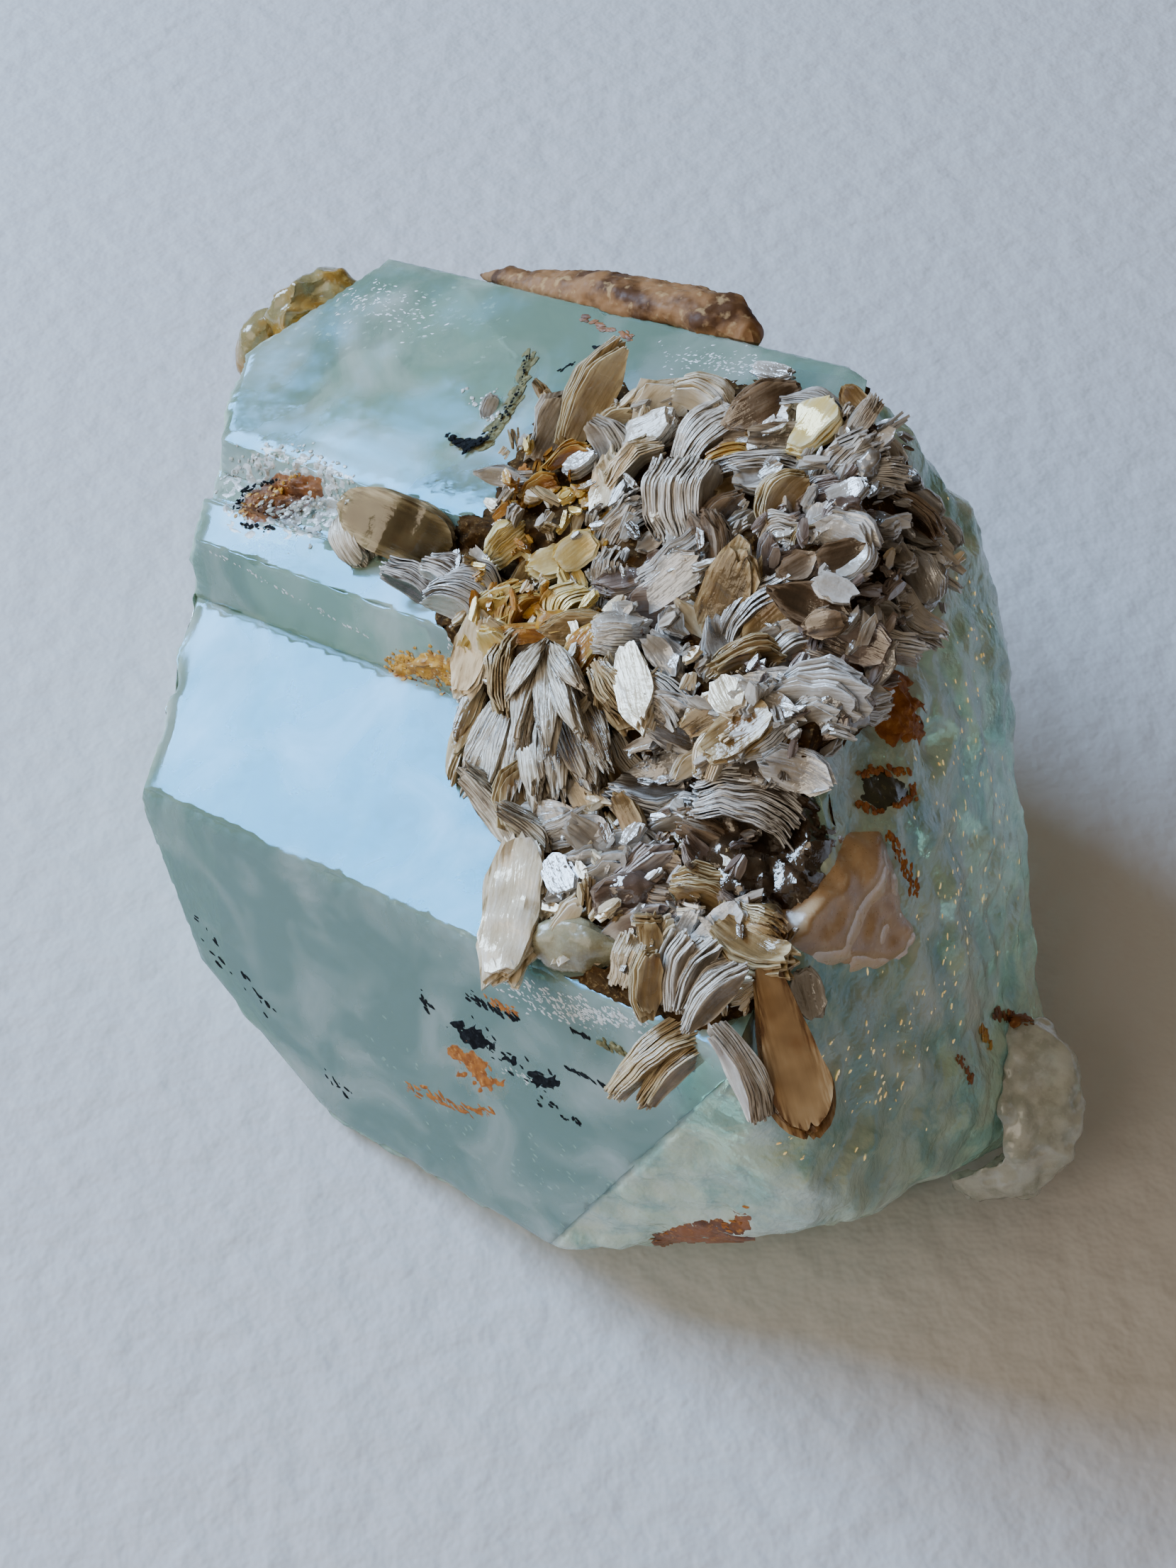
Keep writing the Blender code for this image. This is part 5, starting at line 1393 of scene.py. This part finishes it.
TRAILS: tuple[Trail, ...] = (
    Trail("vein_body", ((749, 498), (730, 558), (698, 609), (682, 630), (640, 622)), Grain.OLIVE, 110, (0.25, 0.6), 7,
          2.4, 0.2, 0.0),
    Trail("vein_dots", ((751, 490), (733, 555), (700, 609), (684, 628), (634, 619)), Grain.BLACK, 70, (0.08, 0.25), 4,
          1.4, 0.5, -0.6, "bed", -0.25),
    Trail("vein_foot", ((690, 622), (660, 632), (632, 618)), Grain.BLACK, 60, (0.15, 0.42), 6, 1.8, 0.4, -0.6, "bed",
          -0.25),
    # white crumbs that paint the glints beside the vein
    Trail("vein_glints", ((660, 550), (672, 575), (700, 560), (690, 600)), Grain.WHITE, 46, (0.12, 0.4), 14, 1.2,
          0.5),
    Trail("black_tick", ((838, 490), (862, 500)), Grain.BLACK, 12, (0.15, 0.35), 3, 2.0, 0.4),
    Trail("black_tick_low", ((780, 528), (812, 512)), Grain.BLACK, 9, (0.12, 0.28), 3, 1.8, 0.4),
    # the two glitter trails are white specks that paint glitter on the crystal
    Trail("left_glitter", ((475, 440), (520, 415), (600, 455)), Grain.WHITE, 130, (0.04, 0.15), 28, 3.2, 0.12),
    Trail("rear_glitter", ((940, 505), (1010, 510), (1075, 520)), Grain.WHITE, 170, (0.03, 0.14), 20, 2.6, 0.15),
    Trail("rust_needle", ((815, 448), (900, 480)), Grain.RUST, 26, (0.2, 0.5), 4, 2.2, 0.3),
    Trail("pit_rim", ((322, 690), (350, 655), (400, 640), (455, 655), (485, 690), (470, 728), (410, 750)),
          Grain.WHITE, 120, (0.1, 0.35), 26, 1.4, 0.45, 0.1),
    Trail("pit_rim_grey", ((330, 668), (400, 636), (470, 665), (492, 710), (440, 748)), Grain.QUARTZ, 60, (0.12, 0.4),
          24, 1.4, 0.45, 0.1),
    Trail("pit_wall", ((380, 728), (430, 722), (458, 700)), Grain.QUARTZ, 70, (0.12, 0.5), 14, 1.4, 0.5, -0.8, "bed",
          -0.4),
    Trail("pit_orange", ((342, 728), (362, 708), (395, 690), (428, 668)), Grain.OCHRE, 60, (0.1, 0.4), 11, 1.4, 0.4,
          -1.0, "bed", -0.4),
    # black crumbs along the pit's left and top edge: painted shadow of the pit's wall
    Trail("pit_painted_shadow", ((334, 722), (346, 700), (372, 684), (402, 672)), Grain.BLACK, 50, (0.1, 0.3), 4, 1.6, 0.5,
          -0.8, "bed", -0.4),
    Trail("pit_dark_foot", ((345, 742), (385, 746)), Grain.BLACK, 30, (0.1, 0.3), 5, 1.6, 0.4, -0.6),
    Trail("riser_foot", ((552, 940), (600, 935), (650, 960)), Grain.OCHRE, 240, (0.06, 0.34), 18, 1.5, 0.5),
    Trail("riser_foot_dark", ((560, 945), (640, 960)), Grain.RUST, 60, (0.06, 0.24), 14, 1.5, 0.5),
    Trail("riser_foot_white", ((640, 905), (650, 960), (655, 1040)), Grain.WHITE, 80, (0.08, 0.3), 10, 1.6, 0.4),
    Trail("left_white", ((255, 760), (320, 790), (430, 850), (520, 900)), Grain.WHITE, 60, (0.06, 0.18), 3, 2.2,
          0.25),
    Trail("cavity_ochre", ((722, 720), (760, 700), (830, 700), (848, 760), (800, 790), (740, 790), (722, 740)),
          Grain.OCHRE, 150, (0.25, 0.9), 13, 1.5, 0.6, 0.0),
    Trail("cavity_orange", ((740, 660), (720, 760), (745, 800)), Grain.ORANGE, 60, (0.2, 0.7), 10, 1.4, 0.6, 0.0),
    Trail("golden_mica_foot", ((690, 850), (740, 860), (800, 850), (850, 870)), Grain.OCHRE, 110, (0.2, 0.8), 18, 1.6,
          0.5, 0.0),
    Trail("chain", ((720, 1392), (780, 1418), (840, 1436)), Grain.WHITE, 230, (0.03, 0.2), 20, 2.4, 0.15),
    Trail("chain_right", ((819, 1425), (908, 1445)), Grain.WHITE, 120, (0.05, 0.24), 15, 2.0, 0.2),
    Trail("streak_black", ((656, 1404), (690, 1420), (728, 1438)), Grain.BLACK, 44, (0.08, 0.34), 6, 2.6, 0.18, 0.3,
          "beryl"),
    Trail("streak_orange", ((690, 1408), (728, 1430)), Grain.ORANGE, 26, (0.08, 0.32), 6, 2.4, 0.18, 0.3, "beryl"),
    Trail("blot_black", ((640, 1450), (680, 1462), (700, 1485)), Grain.BLACK, 24, (0.08, 0.3), 16, 2.0, 0.14, 0.3,
          "beryl"),
    Trail("blot_orange", ((645, 1482), (665, 1500), (690, 1525)), Grain.ORANGE, 24, (0.08, 0.3), 14, 2.0, 0.14, 0.3,
          "beryl"),
    Trail("blot_right", ((700, 1488), (740, 1508), (785, 1532)), Grain.BLACK, 26, (0.08, 0.3), 16, 2.4, 0.14, 0.3,
          "beryl"),
    Trail("blot_white", ((705, 1505), (760, 1528)), Grain.WHITE, 30, (0.08, 0.3), 9, 1.8, 0.2, 1.0),
    Trail("spots_low", ((758, 1550), (817, 1585)), Grain.BLACK, 18, (0.12, 0.35), 7, 1.6, 0.25),
    Trail("lines_high", ((801, 1507), (852, 1531)), Grain.BLACK, 18, (0.1, 0.3), 2.5, 3.0, 0.25),
    Trail("lines_top", ((806, 1453), (833, 1464)), Grain.BLACK, 9, (0.1, 0.28), 2.0, 3.0, 0.25),
    Trail("dots_left", ((590, 1400), (610, 1430)), Grain.BLACK, 12, (0.12, 0.4), 7, 1.8, 0.25),
    Trail("streaks_low", ((570, 1530), (600, 1545), (640, 1560), (695, 1570)), Grain.ORANGE, 64, (0.08, 0.36), 8, 3.0,
          0.16, 0.3, "beryl"),
    Trail("outline_spots", ((275, 1300), (330, 1370), (390, 1440)), Grain.BLACK, 22, (0.1, 0.4), 14, 2.4, 0.16, 0.3,
          "beryl"),
    Trail("outline_spots_low", ((455, 1510), (490, 1540)), Grain.BLACK, 12, (0.1, 0.4), 10, 2.4, 0.16, 0.3, "beryl"),
    Trail("tan_spot", ((843, 1470), (886, 1485)), Grain.OLIVE, 20, (0.2, 0.6), 7, 1.4, 0.4),
    Trail("foot_rust", ((920, 1745), (980, 1735), (1060, 1722)), Grain.ORANGE, 40, (0.1, 0.4), 10, 1.8, 0.25),
    Trail("rear_seam_pale", ((650, 378), (760, 392), (860, 412)), Grain.OLIVE, 60, (0.5, 1.4), 9, 1.4, 0.7, 0.3),
    Trail("rear_seam_rust", ((800, 402), (930, 430), (1090, 486)), Grain.RUST, 90, (0.5, 1.5), 9, 1.6, 0.7, 0.3),
    Trail("rear_seam_orange", ((640, 374), (690, 384)), Grain.ORANGE, 26, (0.4, 1.2), 8, 1.4, 0.7, 0.3),
    # these two trails strew glowing golden crumbs: a painted sparkle over the broken end
    Trail("fracture_glints", ((1330, 1000), (1390, 1180), (1350, 1330), (1250, 1500), (1130, 1600)), Grain.GLINT, 230,
          (0.05, 0.24), 76, 2.4, 0.2, 0.0),
    Trail("fracture_glints_high", ((1290, 700), (1370, 850), (1380, 1000)), Grain.GLINT, 30, (0.08, 0.25), 30, 1.6,
          0.3, 0.0),
    Trail("veil_front", ((560, 1230), (700, 1300), (840, 1420), (960, 1560)), Grain.WHITE, 200, (0.05, 0.22), 70, 2.2,
          0.12, 0.0, "beryl", 1.6),
    Trail("veil_low", ((500, 1480), (640, 1600), (820, 1700), (980, 1740)), Grain.WHITE, 200, (0.05, 0.22), 60, 2.2,
          0.12, 0.0, "beryl", 1.4),
    Trail("veil_right", ((1180, 1420), (1260, 1300), (1330, 1150)), Grain.WHITE, 200, (0.05, 0.22), 70, 2.0, 0.12,
          0.0, "beryl", 1.4),
    Trail("veil_upper", ((420, 470), (560, 440), (700, 450)), Grain.WHITE, 160, (0.06, 0.35), 50, 2.0, 0.12, 0.0,
          "beryl", 1.0),
    Trail("lobe_spots", ((1353, 1492), (1372, 1525)), Grain.RUST, 26, (0.15, 0.5), 6, 1.4, 0.3, 0.0),
    Trail("lobe_edge", ((1400, 1430), (1448, 1440)), Grain.RUST, 60, (0.2, 0.6), 8, 1.6, 0.3, 0.0),
    Trail("lobe_side", ((1385, 1452), (1398, 1478)), Grain.OCHRE, 26, (0.15, 0.5), 6, 1.6, 0.3, 0.0),
    Trail("orange_vein", ((1242, 1176), (1262, 1215), (1282, 1262)), Grain.ORANGE, 70, (0.15, 0.4), 5, 2.0, 0.4, 0.0,
          "bed", -0.9),
    Trail("dark_pit_rim", ((1205, 1095), (1240, 1085), (1283, 1090), (1290, 1125), (1240, 1146), (1205, 1130)),
          Grain.ORANGE, 90, (0.15, 0.5), 5, 1.6, 0.4, 0.0),
)


@dataclass
class Crumbs:
    """Strews small angular crumbs along the trails."""

    trails: tuple[Trail, ...]
    seed: int = 501

    def crumb(self, size: float, trail: Trail, draw: random.Random) -> bmesh.types.BMesh:
        """Builds one crumb with uneven corners, lying along X."""
        bm = bmesh.new()
        tint = bm.verts.layers.float.new("tint")
        bmesh.ops.create_icosphere(bm, subdivisions=1, radius=0.5)
        tone = draw.random()
        for vert in bm.verts:
            out = draw.uniform(0.65, 1.2) * size
            vert.co = (vert.co.x * out * trail.stretch, vert.co.y * out, vert.co.z * out * trail.flat)
            vert[tint] = tone
        return bm

    def strew(self, trail: Trail, ground: Sequence[BVHTree], draw: random.Random) -> None:
        """Makes the piece of one trail on the surfaces given, or none where its line passes beside them all."""
        pile = Pile()
        spans = [(Vector(a), Vector(b)) for a, b in zip(trail.line, trail.line[1:])]
        lengths = [(b - a).length for a, b in spans]
        for _ in range(trail.count):
            start, end = draw.choices(spans, lengths)[0]
            spot = start.lerp(end, draw.random())
            spot += Vector((draw.gauss(0, 0.5), draw.gauss(0, 0.5))) * trail.spread
            found = VIEW.hit(ground, spot.x, spot.y)
            if found is None:
                continue
            point, normal = found
            run = (end - start).normalized()
            long_axis = flattened(Vector((run.x, 0, 0)) - VIEW.up * run.y, normal)
            long_axis = Matrix.Rotation(draw.gauss(0, 0.35), 3, normal) @ long_axis
            size = draw.uniform(*trail.size)
            rise = size * trail.flat * (0.5 - trail.sink) * 0.6 - trail.depth * draw.uniform(0.4, 1.0)
            crumb = self.crumb(size, trail, draw)
            crumb.transform(laid(long_axis, normal, point + normal * rise))
            pile.add(crumb)
        bm = pile.close()
        if bm.verts:
            make_piece("trail_" + trail.name, bm, trail.finish)
        else:
            bm.free()

    def build(self, ground: Sequence[BVHTree]) -> None:
        """Makes every trail."""
        draw = random.Random(self.seed)
        for trail in self.trails:
            self.strew(trail, ground, draw)


# ------------------------------------------------------------------ floor, light and camera
@dataclass(frozen=True)
class SoftLight:
    """A soft rectangular light that faces the specimen."""

    name: str
    turn: float                      # degrees round from +X
    rise: float                      # degrees above level
    far: float                       # mm from the specimen
    wide: float                      # mm
    high: float                      # mm
    power: float
    colour: str

    def build(self) -> None:
        """Makes the light."""
        light = bpy.data.lights.new(self.name, "AREA")
        light.shape = "RECTANGLE"
        light.size, light.size_y = self.wide * MM, self.high * MM
        light.energy = self.power
        light.color = linear(self.colour)[:3]
        lamp = bpy.data.objects.new(self.name, light)
        turn, rise = math.radians(self.turn), math.radians(self.rise)
        out = Vector((math.cos(turn) * math.cos(rise), math.sin(turn) * math.cos(rise), math.sin(rise)))
        lamp.location = (Vector(VIEW.target) + out * self.far) * MM
        lamp.rotation_euler = out.to_track_quat("Z", "Y").to_euler()
        bpy.context.scene.collection.objects.link(lamp)


WINDOW = SoftLight("window", 152.2, 36.0, 600.0, 320.0, 270.0, 7.8, "#b2d6ff")
FRONT_FILL = SoftLight("front_fill", 216.0, 34.0, 380.0, 300.0, 300.0, 0.7, "#fff0da")


@dataclass(frozen=True)
class Studio:
    """A pale floor, a window-like light from the back left, a dim one from the front left, and the camera."""

    lights: tuple[SoftLight, ...] = (WINDOW, FRONT_FILL)
    floor_mm: float = 1600.0
    floor_colour: str = "#cbcbcd"
    floor_grain_mm: float = 3.0      # width of the bumps in the floor
    floor_relief_mm: float = 0.8     # their height
    sky_left: float = 0.4256         # strength of the room's light from the left
    sky_right: float = 0.1064        # and from the right
    room_colour: str = "#ffe4c2"
    clip: tuple[float, float] = (0.005, 10.0)    # metres

    def floor(self) -> None:
        """Makes the floor: a matt painted surface with soft bumps."""
        bm = bmesh.new()
        bmesh.ops.create_grid(bm, x_segments=4, y_segments=4, size=self.floor_mm / 2 * MM)
        mesh = bpy.data.meshes.new("floor")
        bm.to_mesh(mesh)
        bm.free()
        material, tree = new_material("matt_painted_surface")
        place = add_node(tree, "TexCoord").outputs["Object"]
        bumps = add_node(tree, "TexNoise", {"Scale": 1 / (self.floor_grain_mm * MM), "Detail": 3.0},
                         {"Vector": place}).outputs[0]
        bump = add_node(tree, "Bump", {"Distance": self.floor_relief_mm * MM, "Strength": 0.6},
                        {"Height": bumps}).outputs[0]
        shader = add_node(tree, "BsdfPrincipled", {"Base Color": linear(self.floor_colour), "Roughness": 0.7},
                          {"Normal": bump})
        add_node(tree, "OutputMaterial", None, {"Surface": shader.outputs[0]})
        mesh.materials.append(material)
        floor = bpy.data.objects.new("floor", mesh)
        bpy.context.scene.collection.objects.link(floor)

    def camera(self) -> None:
        """Makes the camera at the show side."""
        data = bpy.data.cameras.new("show_camera")
        data.lens, data.sensor_width = VIEW.lens_mm, VIEW.sensor_mm
        data.clip_start, data.clip_end = self.clip
        camera = bpy.data.objects.new("show_camera", data)
        camera.location = VIEW.eye * MM
        camera.rotation_euler = VIEW.towards.to_track_quat("Z", "Y").to_euler()
        bpy.context.scene.collection.objects.link(camera)
        bpy.context.scene.camera = camera

    def room(self) -> None:
        """Makes the room's own light, stronger from the left than from the right."""
        world = bpy.data.worlds.new("pale_room")
        world.use_nodes = True
        tree = world.node_tree
        tree.nodes.clear()
        facing = add_node(tree, "TexCoord").outputs["Generated"]
        sideways = add_node(tree, "SeparateXYZ", None, {"Vector": facing}).outputs["X"]
        strength = add_node(tree, "MapRange", {
            "From Min": -1.0, "From Max": 1.0, "To Min": self.sky_left, "To Max": self.sky_right},
            {"Value": sideways}).outputs[0]
        sky = add_node(tree, "Background", {"Color": linear(self.room_colour)}, {"Strength": strength})
        add_node(tree, "OutputWorld", None, {"Surface": sky.outputs[0]})
        bpy.context.scene.world = world

    def build(self) -> None:
        """Makes the whole studio."""
        self.floor()
        for light in self.lights:
            light.build()
        self.camera()
        self.room()


GRAINS: tuple[RockGrain, ...] = (
    RockGrain("rear_feldspar", Grain.BLADE, "rust", 0.32, lumps=0.5, lump_size=3.4, grit=0.12, facets=0.8, grown=1.05,
              swell=0.5, taper=0.66),
    RockGrain("glassy_amber_grain", Grain.AMBER, "amber", facets=1.0, lumps=0.9, lump_size=2.8, grit=0.03,
              grown=1.12),
    RockGrain("yellow_feldspar_grain", Grain.AMBER, "amber", facets=0.6),
    RockGrain("quartz_lobe", Grain.QUARTZ, "quartz", lumps=0.5, lump_size=1.7, facets=1.0, grown=1.22),
    RockGrain("pale_quartz_grain", Grain.DULL_QUARTZ, "quartz", lumps=0.35, facets=0.8, lump_size=2.0),
    RockGrain("silver_dome", Mica.SILVER, "silver", lumps=0.25, lump_size=0.7, grit=0.2, facets=0.8, cell=0.3),
    RockGrain("purple_star_grain", Mica.PLUM, "plum", lumps=0.25, lump_size=0.6, grit=0.2, facets=1.0, cell=0.3),
    RockGrain("grey_chip_grain", Mica.SILVER, "silver", lumps=0.3, lump_size=0.9, grit=0.2, facets=1.0, cell=0.3),
    RockGrain("upright_silver_grain", Mica.SILVER, "silver", lumps=0.2, lump_size=0.6, grit=0.15, facets=0.8,
              cell=0.3),
    RockGrain("orange_dome_grain", Grain.OCHRE, "rust", lumps=0.15, lump_size=0.8, cell=0.3),
    RockGrain("plum_mica_grain", Mica.PLUM, "plum", lumps=0.25, lump_size=0.7, grit=0.2, facets=0.8, cell=0.3),
)


def main() -> None:
    """Builds the studio and the specimen: crystal, ground, grains, books, patches, small flakes and crumbs."""
    logging.basicConfig(level=logging.INFO, format="%(name)s: %(message)s")
    noise.seed_set(NOISE_SEED)       # the clock seeds noise_vector otherwise, and facets differ from run to run
    Studio().build()
    crystal = AquamarineCrystal().build()
    bed = MicaGround().build(crystal)
    grains = {grain.node: grain.build() for grain in GRAINS}
    blockers = [book.build(node, slot, FIRST_BOOK_SEED + index)
                for index, (node, (slot, book)) in enumerate(BOOKS.items())]
    ground = [crystal, bed, grains["quartz_lobe"]]
    for patch in PATCHES:
        patch.build(ground)
    blockers += [group.build(ground) for group in (FAN, SMALL_FAN, CROSSED)]
    SmallFlakes(CRUST_OUTLINE, ZONES, placed=PLACED).build(ground, blockers)
    Crumbs(TRAILS).build(ground)


if __name__ == "__main__":
    main()
